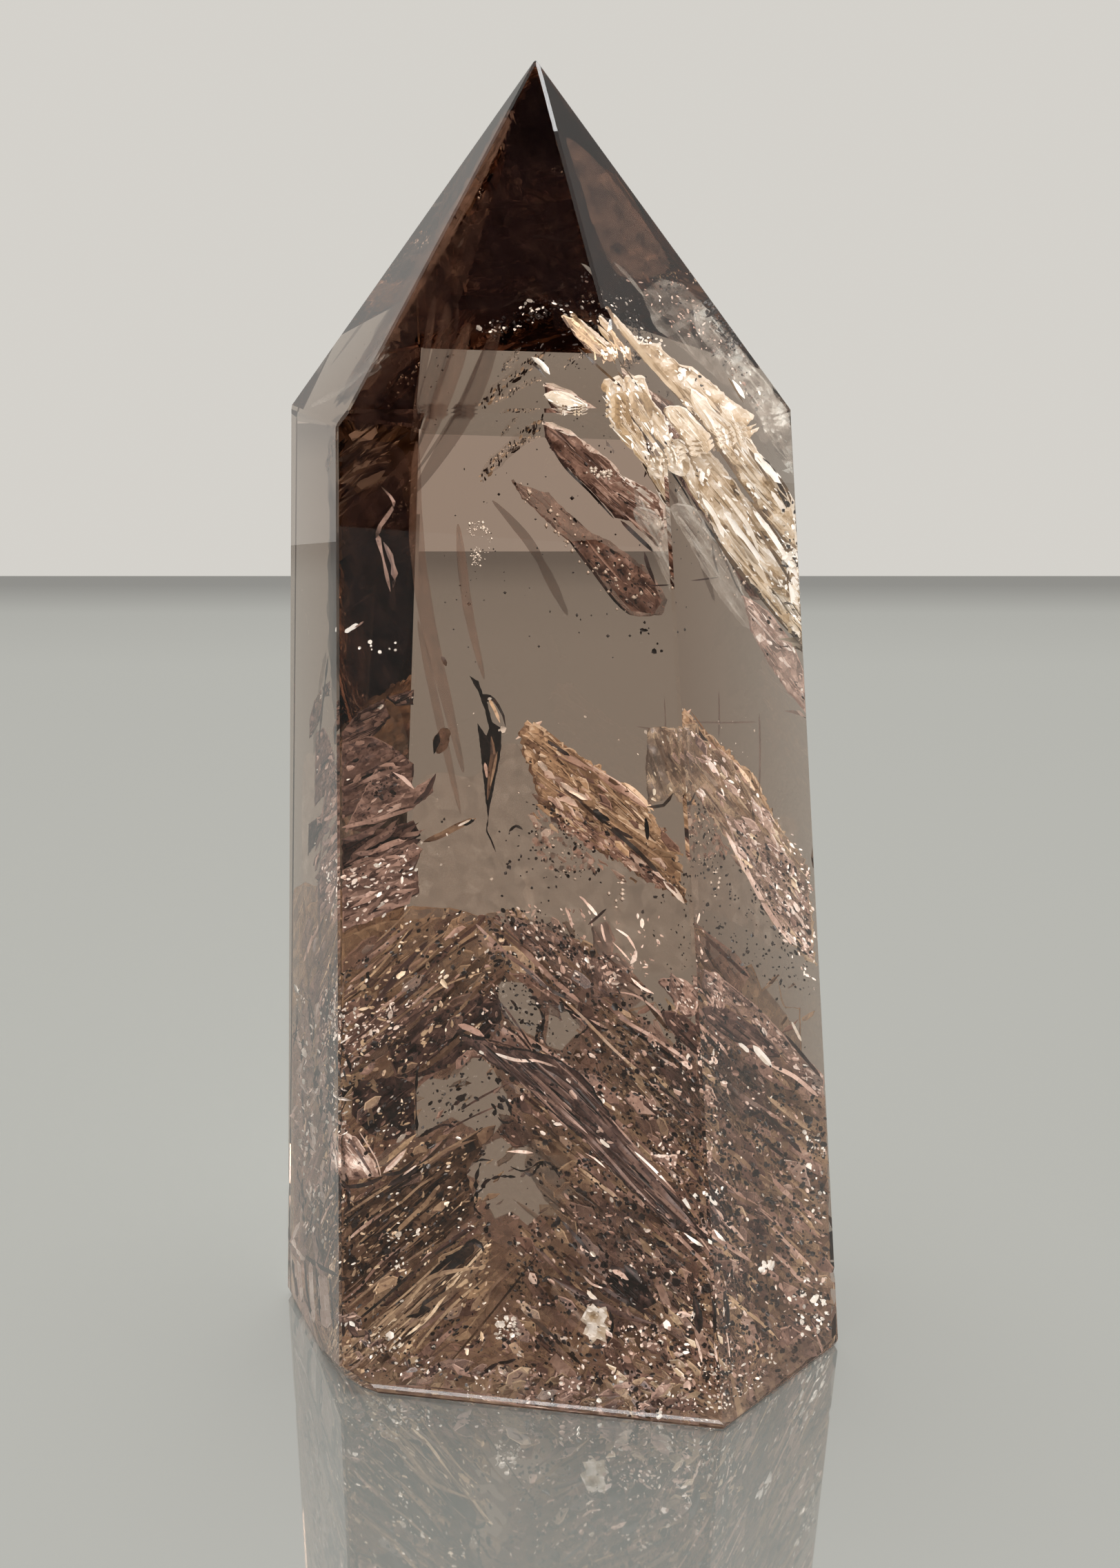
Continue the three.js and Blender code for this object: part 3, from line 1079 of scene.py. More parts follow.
    def edge(self, piece: Gathered, ring: Array) -> None:
        """Adds the strips along the upper and the lower edges: painted highlight where they are pale,
        painted shade where they are dark.

        Args:
            piece: the piece that it is added to.
            ring: the pixels of the plate's outline.
        """
        rng = piece.rng
        after = np.roll(ring, -1, axis=0)
        run = after - ring
        area = (ring[:, 0] * after[:, 1] - after[:, 0] * ring[:, 1]).sum()
        out = np.stack([run[:, 1], -run[:, 0]], axis=1) * np.sign(area)
        out /= np.maximum(np.linalg.norm(out, axis=1, keepdims=True), NOT_NOUGHT)
        up = -along_and_across(self.turn)[1]
        for rim, way in ((self.upper, up), (self.lower, -up)):
            if rim is None:
                continue
            k = np.flatnonzero(out @ way > self.RIM_FACING)
            n = len(k)
            uneven = Drift(rng, self.RIM_WAVES_PX)(np.arange(len(ring))[:, None])
            wide = self.rim_px * np.clip(0.75 + 0.35 * uneven, *self.RIM_SHARES)
            inner = ring - out * wide[:, None]
            inner_after = after - out * np.roll(wide, -1)[:, None]
            pixels = np.concatenate([ring[k], after[k], inner_after[k], inner[k]])
            faces = np.arange(n)[:, None] + np.arange(4)[None] * n
            tones = self.tone + rim + rng.normal(0, self.RIM_TONE_SPREAD, n)
            piece.add_drawn(pixels, self.depth(pixels) - self.RIM_ABOVE_MM, faces, tones, self.wear)

    def strew(self, piece: Gathered) -> None:
        """Adds the long lines, the dark specks and the pale flecks that lie on it.

        Args:
            piece: the piece that it is added to.
        """
        rng = piece.rng
        outline = pixels_of(self.outline)
        low, high = outline.min(axis=0), outline.max(axis=0)
        turn = math.radians(self.turn)
        flecks, fleck_px, fleck_tone = self.flecks
        # How many, how long, how wide for that, how much they stray, the tone's lift and its
        # spread. Where the lift is None, the tone is a middling one.
        kinds = (
            (self.lines, self.line_px, 0.05, 0.05, 0.0, 0.16, self.wear),
            (self.specks, 5.0, 0.40, 0.4, None, 0.1, SPECK),
            (flecks, fleck_px, 0.32, 0.3, fleck_tone - self.tone, 0.08, self.wear),
            # A tenth as many glints, whose pale tone paints highlights.
            (flecks // 10, 0.7 * fleck_px, 0.30, 0.4, 1.0, 0.05, GLINT),
        )
        for count, long, ratio, stray, lift, spread, wear in kinds:
            if not count:
                continue
            pixels = rng.uniform(low, high, (self.STREWN_TRIES * count, 2))
            length = long * rng.gamma(4.0, 0.25, len(pixels))
            way = turn + rng.normal(0, stray, len(pixels))
            reach = np.stack([np.cos(way), np.sin(way)], axis=1) * length[:, None] * self.STREWN_REACH
            wanted = within(outline, pixels - reach) & within(outline, pixels + reach)
            for window in self.windows:
                wanted &= ~within(pixels_of(window), pixels)
            k = np.flatnonzero(wanted)[:count]
            n = len(k)
            tones = (self.tone + lift if lift is not None else 0.4) + rng.normal(0, spread, n)
            deep = self.depth(pixels[k]) - rng.uniform(*self.STREWN_ABOVE_MM, n)
            width = length[k] * ratio * rng.uniform(*self.STREWN_WIDTHS, n)
            dip = rng.normal(0, self.STREWN_DIP, n)
            piece.add_marks(pixels[k], deep, length[k], width, way[k], dip, tones, wear)


@dataclass(frozen=True)
class Shingles:
    """Many slanting strips that lie over each other in one region, like the plates of a wing."""

    region: Outline
    count: int
    deep: Span
    turn: float
    tones: Span
    wears: tuple[Wear, ...] = (GOLDEN, MAUVE)
    length_px: Span = (60.0, 170.0)
    width_px: Span = (7.0, 24.0)
    scatter: float = 5.0
    rims: float = 0.16
    clear: tuple[Outline, ...] = ()

    TRIES = 30
    KNOTS = np.array([-1.0, -0.4, 0.3, 1.0])
    KNOT_STRAY_PX = 1.5

    def grow(self, piece: Gathered) -> None:
        """Adds the strips to a piece.

        Args:
            piece: the piece that it is added to.
        """
        rng = piece.rng
        outline = pixels_of(self.region)
        low, high = outline.min(axis=0), outline.max(axis=0)
        holes = [pixels_of(hole) for hole in self.clear]
        for _ in range(self.count):
            for _ in range(self.TRIES):
                middle = rng.uniform(low, high)
                way = math.radians(self.turn + rng.normal(0, self.scatter))
                reach = np.array([math.cos(way), math.sin(way)]) * rng.uniform(*self.length_px) / 2
                ends = middle + self.KNOTS[:, None] * reach
                if within(outline, ends).all() and not any(within(hole, ends).any() for hole in holes):
                    break
            else:
                continue
            ends = ends + rng.normal(0, self.KNOT_STRAY_PX, ends.shape)
            Ribbon(
                tuple(ends.ravel()),
                float(rng.uniform(*self.width_px)),
                float(rng.uniform(*self.deep)),
                tone=float(rng.uniform(*self.tones)),
                wear=self.wears[rng.integers(len(self.wears))],
                taper=(float(rng.uniform(0.02, 0.35)), float(rng.uniform(0.02, 0.35))),
                cut=float(rng.uniform(-1.2, 1.2)),
                dive=float(rng.uniform(-0.8, 0.8)),
                lean=float(rng.uniform(-0.5, 0.5)),
                streak=0.06,
                # The pale upper edge paints a highlight and the dark lower edge paints shade.
                upper=self.rims * float(rng.uniform(0.2, 1.3)),
                lower=-self.rims * float(rng.uniform(0.2, 1.3)),
            ).grow(piece)


@dataclass(frozen=True)
class Shards:
    """Small many-cornered plates that lie over each other in one region."""

    region: Outline
    count: int
    deep: Span
    turn: float
    tones: Span
    wears: tuple[Wear, ...] = (GOLDEN, MAUVE, GOLDEN_VEIL, MAUVE_VEIL)
    size_px: Span = (22.0, 78.0)
    slim: float = 0.42
    clear: tuple[Outline, ...] = ()

    TRIES = 8
    CORNER_STRAY = 0.34
    TURN_SPREAD = 9

    def grow(self, piece: Gathered) -> None:
        """Adds the plates to a piece.

        Args:
            piece: the piece that it is added to.
        """
        rng = piece.rng
        outline = pixels_of(self.region)
        middles = rng.uniform(outline.min(axis=0), outline.max(axis=0), (self.TRIES * self.count, 2))
        kept = within(outline, middles)
        for hole in self.clear:
            kept &= ~within(pixels_of(hole), middles)
        for middle in middles[kept][: self.count]:
            corners = int(rng.integers(4, 7))
            stray = rng.uniform(-self.CORNER_STRAY, self.CORNER_STRAY, corners)
            way = (np.arange(corners) + stray) * 2 * math.pi / corners
            reach = float(rng.triangular(self.size_px[0], self.size_px[0], self.size_px[1])) / 2
            flat = np.stack([np.cos(way), self.slim * np.sin(way)], axis=1) * reach
            turn = self.turn + float(rng.normal(0, self.TURN_SPREAD))
            pixels = flat @ along_and_across(turn) + middle
            Plate(
                tuple(pixels.ravel()),
                float(rng.uniform(*self.deep)),
                tone=float(rng.uniform(*self.tones)),
                wear=self.wears[rng.integers(len(self.wears))],
                turn=turn,
                dive=float(rng.uniform(-2.0, 2.0)),
                lean=float(rng.uniform(-2.5, 2.5)),
                shade=float(rng.uniform(-0.3, 0.3)),
                # The pale upper edge paints a highlight and the dark lower edge paints shade.
                upper=float(rng.uniform(0.0, 0.22)),
                lower=float(rng.uniform(-0.22, 0.0)),
                rim_px=2.0,
                cell_px=9.0,
                relief=0.02,
            ).grow(piece)


@dataclass(frozen=True)
class Growth:
    """What one region of the crystal holds, gathered into one piece."""

    name: str
    seed: int
    slot: str
    parts: Parts
    stands_for: str = ""

    def build(self, space: CrystalSpace) -> bpy.types.Object:
        """Grows all of it into one piece.

        Args:
            space: the inside of the crystal.

        Returns:
            The piece.
        """
        piece = Gathered(self.name, space, self.seed)
        for part in self.parts:
            part.grow(piece)
        return piece.build(self.slot, self.stands_for)


@dataclass(frozen=True)
class ClearPoint:
    """The whole clear crystal: the outsides of both halves, joined where they are parted."""

    halves: tuple[str, str] = ("crystal_front", "crystal_back")
    skin: float = 0.32 * MM
    parting: Span = (2.9 * MM, 3.1 * MM)
    level: float = math.radians(0.3)

    def build(self) -> bpy.types.Object:
        """Joins the halves' outer faces into one closed piece.

        Returns:
            The clear piece.
        """
        work = bmesh.new()
        for name in self.halves:
            work.from_mesh(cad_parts[name].data)
        bmesh.ops.remove_doubles(work, verts=work.verts[:], dist=0.001 * MM)
        raw = bpy.data.meshes.new("both_halves")
        work.to_mesh(raw)
        normals, reaches = flat_faces(raw)
        bpy.data.meshes.remove(raw)
        low, high = self.parting
        inner = []
        for face in work.faces:
            corners = np.array([vertex.co for vertex in face.verts])
            below = (reaches - corners @ normals.T).min(axis=1).max()
            parted = low < corners[:, 1].min() and corners[:, 1].max() < high
            if below > self.skin or parted:
                inner.append(face)
        bmesh.ops.delete(work, geom=inner, context="FACES")
        rims = [edge for edge in work.edges if edge.is_boundary]
        bmesh.ops.bridge_loops(work, edges=rims)
        bmesh.ops.dissolve_limit(work, angle_limit=self.level, verts=work.verts[:], edges=work.edges[:])
        bmesh.ops.recalc_face_normals(work, faces=work.faces[:])
        if not all(edge.is_manifold for edge in work.edges):
            raise RuntimeError("the clear crystal isn't closed")
        mesh = bpy.data.meshes.new("clear_crystal")
        work.to_mesh(mesh)
        work.free()
        mesh.materials.append(ClearQuartz().build())
        piece = bpy.data.objects.new("clear_crystal", mesh)
        bpy.context.scene.collection.objects.link(piece)
        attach(piece, CRYSTAL_BODY)
        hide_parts(*self.halves)
        LOG.info("clear_crystal: %d faces", len(mesh.polygons))
        return piece


@dataclass(frozen=True)
class UpperSpray:
    """The cream and gold blades that cross the right shoulder, and the brown ones below."""

    seed: int = 11
    shoulder_mm: float = 3.6
    edge_mm: float = 1.8
    middle_mm: float = 12.0
    back_mm: float = 21.5

    def great_blade(self) -> Parts:
        """The great cream blade along the shoulder, in its overlapping plates."""
        deep = self.shoulder_mm
        return (
            Plate((878,444, 908,474, 929,497, 956,498, 965,512, 986,528, 1003,532, 1032,554, 1055,576,
                1094,603, 1080,622, 1101,658, 1134,697, 1152,726, 1157,800, 1128,772, 1102,742, 1051,662,
                1032,631, 988,583, 952,544, 921,509, 892,474), deep, 0.58, CREAM, 48, dive=-1, streak=0.06,
                streak_px=(110, 8), patch=0.13, fade=-0.25, upper=0.22, lower=-0.36, rim_px=4, cell_px=4.5,
                lines=60, line_px=42, flecks=(60, 7, 1), specks=6),
            Plate((1000,560, 1022,575, 1046,610, 1060,655, 1048,650, 1020,612, 1003,588), deep - 0.6, 0.8,
                CREAM, 52, upper=0.15, lower=-0.22, rim_px=2.5, cell_px=4.5, lines=8),
            Plate((1042,585, 1056,592, 1075,628, 1092,660, 1084,664, 1062,634, 1046,606), deep - 0.8, 0.7,
                CREAM, 55, upper=0.2, lower=-0.3, rim_px=2.5, cell_px=4.5, lines=8),
            Ribbon((895,468, 925,505, 960,545, 992,580), 9, deep - 0.5, 0.5, CREAM, lower=-0.3),
            Ribbon((1058,668, 1090,712, 1130,768), 10, deep - 0.8, 0.72, CREAM, upper=-0.35),
            Ribbon((1002,600, 1040,648, 1080,706, 1130,772, 1160,818), 4, deep - 1, 0.22, CREAM),
            Ribbon((1064,655, 1100,700, 1140,760, 1162,800), 3.5, deep - 1, 0.3, CREAM),
            Strewn((918,486, 962,492, 966,506, 930,504), 24, deep - 0.6, 6, 0.6, 35, 30, 0.86, 0.08, CREAM,
                0.3),
            Strewn((984,532, 1000,536, 1000,550, 986,548), 10, deep - 0.6, 9, 0.6, 45, 30, 1, 0.02, CREAM,
                0.3),
            Strewn((1010,540, 1024,556, 1020,566, 1006,552), 7, deep - 0.9, 7, 0.5, 50, 30, 0.4),
        )

    def second_blade(self) -> Parts:
        """The second blade with its two pale heads, and the broad sheet that it runs out in."""
        deep = self.shoulder_mm - 0.5
        return (
            Plate((1014,655, 1030,655, 1045,670, 1080,720, 1118,762, 1152,812, 1172,868, 1174,925, 1166,940,
                1135,905, 1090,850, 1060,820, 1036,778, 1027,750, 1005,720, 990,690, 980,668, 1000,655),
                deep, 0.56, CREAM, 50, dive=-1, streak=0.07, streak_px=(120, 9), patch=0.15, upper=0.16,
                lower=-0.5, rim_px=4, cell_px=4.5, lines=90, line_px=46, flecks=(120, 8, 0.98), specks=16),
            Plate((904,548, 920,545, 935,548, 945,580, 962,600, 975,640, 1000,668, 1012,700, 1027,750,
                1005,720, 990,690, 975,670, 965,650, 940,625, 922,610, 908,575), deep + 0.3, 0.6, CREAM, 55,
                patch=0.1, upper=0.2, lower=-0.16, rim_px=3.5, cell_px=4.5, curved=True, lines=26,
                line_px=28, flecks=(44, 7, 0.98), specks=8),
            Plate((962,595, 978,588, 995,592, 1010,610, 1030,632, 1026,640, 1014,648, 996,644, 976,618),
                deep - 0.6, 0.66, CREAM, 48, patch=0.08, upper=0.2, lower=-0.35, cell_px=4.5,
                curved=True, lines=12, line_px=24, flecks=(10, 6, 0.85)),
            Plate((912,572, 935,570, 947,596, 940,612, 922,606), deep - 0.2, 0.4, CREAM, 60, cell_px=4.5,
                curved=True, lines=8, line_px=16),
            Plate((960,660, 985,652, 1000,668, 994,690, 972,684), deep - 0.4, 0.74, CREAM, 50, patch=0.16,
                cell_px=4, curved=True, flecks=(16, 6, 0.85)),
            Ribbon((1036,778, 1060,812, 1094,854, 1134,902, 1166,938), 5.5, deep - 0.8, 0.1, CREAM,
                (0.1, 0.1)),
            Ribbon((1018,722, 1036,748, 1050,780), 7, deep - 0.8, 0.92, CREAM, lower=-0.4),
            Ribbon((1050,716, 1084,762, 1100,800), 6, deep - 0.8, 0.84, CREAM, lower=-0.3),
            Ribbon((1080,800, 1110,840, 1146,890), 8, deep - 0.8, 0.74, CREAM, upper=-0.2),
            Ribbon((1092,740, 1126,786, 1158,840), 7, deep - 1.4, 0.98, CREAM, lower=-0.6),
            Ribbon((1082,742, 1120,800, 1150,850), 4, deep - 1.4, 0.16, CREAM),
            Strewn((906,552, 934,550, 936,566, 910,566), 12, deep - 0.4, 6, 0.6, 30, 40, 0.9, 0.08, CREAM,
                0.3),
            Strewn((955,590, 972,600, 985,640, 966,634), 14, deep - 0.5, 6, 0.6, 60, 30, 0.9, 0.06, CREAM,
                0.3),
            Strewn((1130,780, 1168,800, 1174,930, 1140,880), 60, deep - 1.2, 9, 0.5, 55, 30, 1, 0.03, GLINT,
                0.8),
        )

    def edge_stripes(self) -> Parts:
        """The narrow dark and pale stripes along the right edge; the pale ones partly paint the
        bright band that light gives that edge.

        Returns:
            Its parts, in the order in which they grow.
        """
        deep = self.edge_mm
        # Line, width and tone of each stripe; tone 1 partly paints the edge's bright band.
        rows = (
            ((1094,657, 1113,678, 1133,701), 12, 1), ((1106,664, 1122,684, 1141,726), 6, 0.05),
            ((1085,650, 1108,686, 1134,726), 4, 0.25), ((1096,742, 1114,768, 1134,796), 8, 1),
            ((1088,726, 1116,762, 1146,806), 4, 0.15), ((1118,712, 1138,742, 1156,780), 6, 0.9),
            ((1126,706, 1144,740, 1158,766), 4, 0.1), ((1150,836, 1152,860, 1156,888), 14, 1),
            ((1144,826, 1142,860, 1150,900), 4, 0.2), ((1136,760, 1148,782, 1158,812), 5, 1),
            ((1062,551, 1070,562, 1080,578), 7, 1), ((1056,548, 1066,564, 1078,584), 3, 0.15),
            ((1128,690, 1140,708, 1152,736), 4, 0.12),
        )
        ribbons = [Ribbon(line, width, deep, tone, CREAM, (0.12, 0.12)) for line, width, tone in rows]
        return (
            *ribbons,
            Strewn((1130,740, 1160,752, 1162,836, 1140,830), 46, deep - 0.4, 8, 0.5, 60, 40, 1, 0.03, GLINT,
                0.6),
            Strewn((1134,700, 1160,720, 1162,850, 1142,810), 26, deep - 0.5, 8, 0.4, 60, 30, 0.3),
        )

    def shoulder_veils(self) -> Parts:
        """The grey veil inside the right tip face, partly dust and partly painted light for the
        bright backdrop seen through that face, and the faint sheet below the blades.
        """
        return (
            # The two pale veils in the right tip face: their pale tone partly paints the light seen through
            # that face.
            Plate((1000,425, 1035,455, 1100,540, 1146,600, 1152,690, 1128,662, 1098,600, 1040,520, 1010,480),
                3, 0.5, PALE_VEIL, 52, patch=0.18, streak=0.1, cell_px=7, lines=50, line_px=30,
                flecks=(50, 6, 0.9)),
            Plate((930,424, 958,404, 990,412, 1040,462, 1096,532, 1142,594, 1150,676, 1112,628, 1052,560,
                990,506, 950,476), 5, 0.34, PALE_VEIL, 52, patch=0.12, cell_px=7, lines=30, line_px=26),
            Plate((972,736, 1000,790, 1040,860, 1080,910, 1090,895, 1060,820, 1030,772, 1006,736), 5, 0.56,
                PALE_VEIL, 55, streak=0.12, upper=0.25, lower=-0.25, cell_px=6, lines=24, line_px=50,
                curved=True),
            Plate((1076,862, 1112,884, 1144,924, 1164,966, 1170,1034, 1142,1004, 1112,958, 1088,914), 2.2,
                0.56, MAUVE_VEIL, 52, patch=0.1, streak=0.08, cell_px=6, lines=40, line_px=30,
                flecks=(30, 7, 0.8), specks=14, upper=0.1, lower=-0.2),
            Plate((978,700, 1010,735, 1040,790, 1018,776, 985,738), 5.5, 0.5, PALE_VEIL, 50, streak=0.1,
                cell_px=6, lines=10),
            Strewn((1010,430, 1030,430, 1082,500, 1060,510), 130, 2.5, 5, 0.7, 50, 60, 0.4),
            Strewn((940,400, 990,410, 1090,530, 1140,620, 1100,600, 1000,470), 160, 4, 5, 0.6, 50, 60, 0.4,
                bunched=1),
            Strewn((940,400, 990,410, 1090,530, 1140,620, 1100,600, 1000,470), 90, 4, 5, 0.5, 50, 60, 0.45,
                0.15, MAUVE, bunched=1),
            Strewn((880,380, 990,420, 1060,520, 990,470, 900,440), 60, 6, 5, 0.5, 50, 50, 0.4),
            Strewn((900,400, 1000,430, 1080,540, 1000,500), 50, 5, 6, 0.4, 50, 40, 0.8, 0.1, MAUVE, 3),
            Ribbon((890,380, 912,402, 934,430), 5, 5, 0.65, PALE_VEIL),
            Plate((822,200, 880,250, 950,345, 968,392, 900,400, 862,330, 840,260), 1.6, 0.35, SMOKE, 60,
                patch=0.1, cell_px=8, curved=True, relief=0.02),
            Plate((738,160, 742,176, 690,282, 640,372, 560,500, 520,560, 500,560, 540,490, 610,372, 668,280,
                708,206), 1.5, 0.44, SMOKE, -60, streak=0.08, patch=0.1, cell_px=8, curved=True, relief=0.02,
                lines=14, line_px=60),
            Ribbon((700,196, 640,300, 560,420, 480,530), 4, 1.5, 0.3, SMOKE, (0.3, 0.3), wobble=0.1),
            Ribbon((560,500, 500,560, 450,590), 10, 1.5, 0.4, PALE_VEIL, (0.3, 0.3)),
            Ribbon((1030,560, 1052,590, 1086,636), 3, 5, 0.3, MAUVE),
        )

    def tip_blades(self) -> Parts:
        """The golden blade and the pale lens behind the front tip face."""
        deep = self.shoulder_mm
        return (
            Plate((814,458, 826,460, 839,468, 859,489, 878,504, 894,504, 894,519, 884,525, 865,516, 843,498,
                820,468), deep, 0.62, GOLDEN, 42, upper=0.2, lower=-0.36, rim_px=3.5, cell_px=4, curved=True,
                lines=12, line_px=26, flecks=(4, 5, 0.85)),
            Strewn((878,503, 895,503, 895,517, 886,515), 8, deep - 0.3, 8, 0.7, 0, 40, 0.95, 0.03, CREAM,
                0.2),
            Ribbon((838,504, 870,534, 902,562), 3.5, deep - 0.3, 0.05, CREAM, (0.15, 0.15)),
            Plate((788,575, 795,568, 809,566, 823,570, 839,578, 852,589, 839,595, 822,596, 806,590), 1.6,
                0.72, CREAM, 15, upper=0.1, lower=-0.55, cell_px=4, curved=True, lines=5,
                line_px=14, flecks=(9, 6, 1)),
            Ribbon((771,518, 786,528, 797,543), 7, 2, 0.9, CREAM, upper=-0.2, lower=-0.6),
            Ribbon((768,524, 782,536, 792,548), 3, 1.8, 0.08, CREAM),
            Strewn((780,430, 870,440, 880,500, 845,480, 800,452), 90, 8, 6, 0.6, 40, 60, 0.3, beads=True,
                bunched=1),
            Strewn((690,478, 780,430, 800,456, 720,490), 60, 9, 5, 0.7, -25, 40, 0.3, beads=True),
            Strewn((690,478, 780,430, 800,456, 720,490), 36, 8.6, 6, 0.5, -25, 40, 0.95, 0.05, GLINT),
            Strewn((790,430, 862,436, 872,480, 820,462), 22, 7.6, 6, 0.5, 40, 50, 0.95, 0.05, GLINT),
            Strewn((770,450, 870,470, 860,540, 780,520), 16, 10, 9, 0.25, -40, 20, 0.4),
        )

    def brown_blades(self) -> Parts:
        """The brown blade with the pale top edge, the speckled one below it, and a lens between them."""
        middle, back = self.middle_mm, self.back_mm
        return (
            Plate((787,611, 804,618, 830,627, 852,643, 871,658, 890,672, 903,691, 932,704, 951,717, 964,734,
                966,764, 957,796, 936,776, 916,758, 892,750, 871,726, 852,707, 820,675, 801,653, 790,634),
                middle, 0.48, MAUVE, 42, dive=0.4, streak=0.06, streak_px=(100, 8), patch=0.07, fade=-0.2,
                upper=0.46, lower=-0.3, rim_px=5, cell_px=4.5, lines=60, flecks=(30, 7, 0.72),
                specks=14),
            Plate((870,690, 905,694, 934,706, 956,726, 960,760, 930,752, 900,726), middle - 0.3, 0.58, MAUVE,
                35, patch=0.08, lines=14, flecks=(26, 6, 0.85), specks=6),
            Plate((800,626, 828,636, 862,664, 882,690, 858,680, 824,652), middle - 0.2, 0.3, MAUVE, 42,
                lines=10),
            Shards((880,672, 934,700, 966,740, 960,786, 926,756, 890,716), 12, (middle - 0.8, middle - 0.5),
                40, (0.55, 0.95), (CREAM, MAUVE), (8, 26), 0.4),
            Ribbon((789,612, 812,622, 836,632), 8, middle - 0.4, 0.85, CREAM),
            Ribbon((792,636, 820,678, 856,714, 890,752), 3.5, middle - 0.4, 0.02, MAUVE),
            Ribbon((900,690, 930,712, 962,738), 7, middle - 0.4, 0.92, CREAM, lower=-0.5),
            Strewn((850,677, 890,683, 889,696, 851,690), 26, middle - 0.7, 9, 0.9, 0, 40, 1, 0.02, GLINT,
                0.2, beads=True),
            Strewn((950,751, 966,751, 966,768, 950,768), 9, middle - 1, 13, 0.9, 0, 40, 1, 0.02, GLINT, 0.2,
                beads=True),
            Plate((741,697, 760,704, 795,715, 814,734, 833,752, 859,774, 884,784, 903,799, 935,822, 957,850,
                968,870, 961,892, 932,895, 913,892, 897,879, 871,844, 855,819, 839,799, 808,771, 782,745,
                757,723), back, 0.5, MAUVE_VEIL, 42, dive=0.5, shade=-0.06, patch=0.08, streak=0.06,
                lower=-0.22, rim_px=3.5, lines=30, line_px=26, flecks=(46, 6, 0.66), specks=40),
            Plate((826,786, 862,782, 904,806, 944,836, 960,872, 948,890, 915,886, 880,846), back - 0.5, 0.42,
                MAUVE, 45, patch=0.09, lines=14, flecks=(24, 5, 0.6), specks=70),
            Ribbon((824,782, 858,826, 892,872, 914,892), 4, back - 1, 0.08, MAUVE),
            Strewn((920,900, 940,900, 966,960, 950,960), 9, back - 1, 7, 0.7, 50, 30, 0.3),
            Strewn((730,690, 800,720, 960,860, 900,890, 820,800), 60, back - 2, 6, 0.7, 40, 40, 0.9, 0.06,
                GLINT, 1, beads=True),
            Ribbon((887,599, 910,611, 935,640, 957,669), 3, 10, 0.14, MAUVE),
            Ribbon((933,641, 942,668, 934,692), 6, 10, 0.16, MAUVE, lower=0.2),
            Plate((890,596, 912,600, 932,622, 938,640, 918,624, 904,610), 10.5, 0.16, MAUVE_VEIL, 40,
                curved=True),
            Ribbon((900,755, 926,780, 950,802), 6, middle - 0.5, 0.1, MAUVE),
            Ribbon((934,800, 940,822, 950,846), 5, middle - 0.5, 0.12, MAUVE),
            Ribbon((714,726, 744,758, 776,800, 823,892), 13, back, 0.35, SMOKE),
        )

    def combs(self) -> Parts:
        """The short combs of dark marks to the left of the blades.

        Returns:
            Its parts, in the order in which they grow.
        """
        rows = (
            ((696,693, 720,668, 760,632, 788,610), 20, self.back_mm, 26),
            ((710,587, 734,573, 760,557, 788,548), 9, 17, 16), ((728,538, 740,528, 752,516), 9, 12, 9),
            ((818,530, 836,517, 852,512), 9, 12, 9), ((726,634, 738,618, 752,602), 8, self.back_mm, 6),
        )
        grown: list[Grown] = []
        for line, width, deep, count in rows:
            middle, half = pixels_of(line), (0, width / 2)
            band = tuple(np.concatenate([middle - half, middle[::-1] + half]).ravel())
            grown.append(Ribbon(line, width, deep, 0.36, PALE_VEIL, upper=0.12, lower=-0.2))
            grown.append(Strewn(band, 2 * count, deep - 0.4, width * 0.5, 0.3, -75, 20, 0.4, thick=0.4))
            grown.append(Strewn(band, count, deep - 0.6, width * 0.4, 0.4, -45, 20, 0.62, 0.1, CREAM,
                thick=0.4))
        return (
            *grown,
            Strewn((684,752, 704,756, 714,784, 706,806, 692,832, 680,812, 690,786, 676,768), 110, 9, 3.2,
                0.9, 0, 40, 0.9, 0.1, GLINT, 0.8, beads=True, bunched=1),
            Strewn((640,600, 960,600, 960,960, 640,960), 90, 10, 3.4, 0.9, 0, 40, 0.3, 0.1, SPECK, 14,
                beads=True),
            Strewn((600,480, 900,480, 900,590, 600,590), 50, 10, 3.4, 0.9, 0, 40, 0.3, 0.1, SPECK, 12,
                beads=True),
        )

    def build(self, space: CrystalSpace) -> bpy.types.Object:
        """Grows the blades, the combs and the grains."""
        parts = (
            *self.great_blade(), *self.second_blade(), *self.edge_stripes(), *self.shoulder_veils(),
            *self.tip_blades(), *self.brown_blades(), *self.combs(),
        )
        return Growth("upper_spray", self.seed, "cream_blades", parts, "upper_blades").build(space)


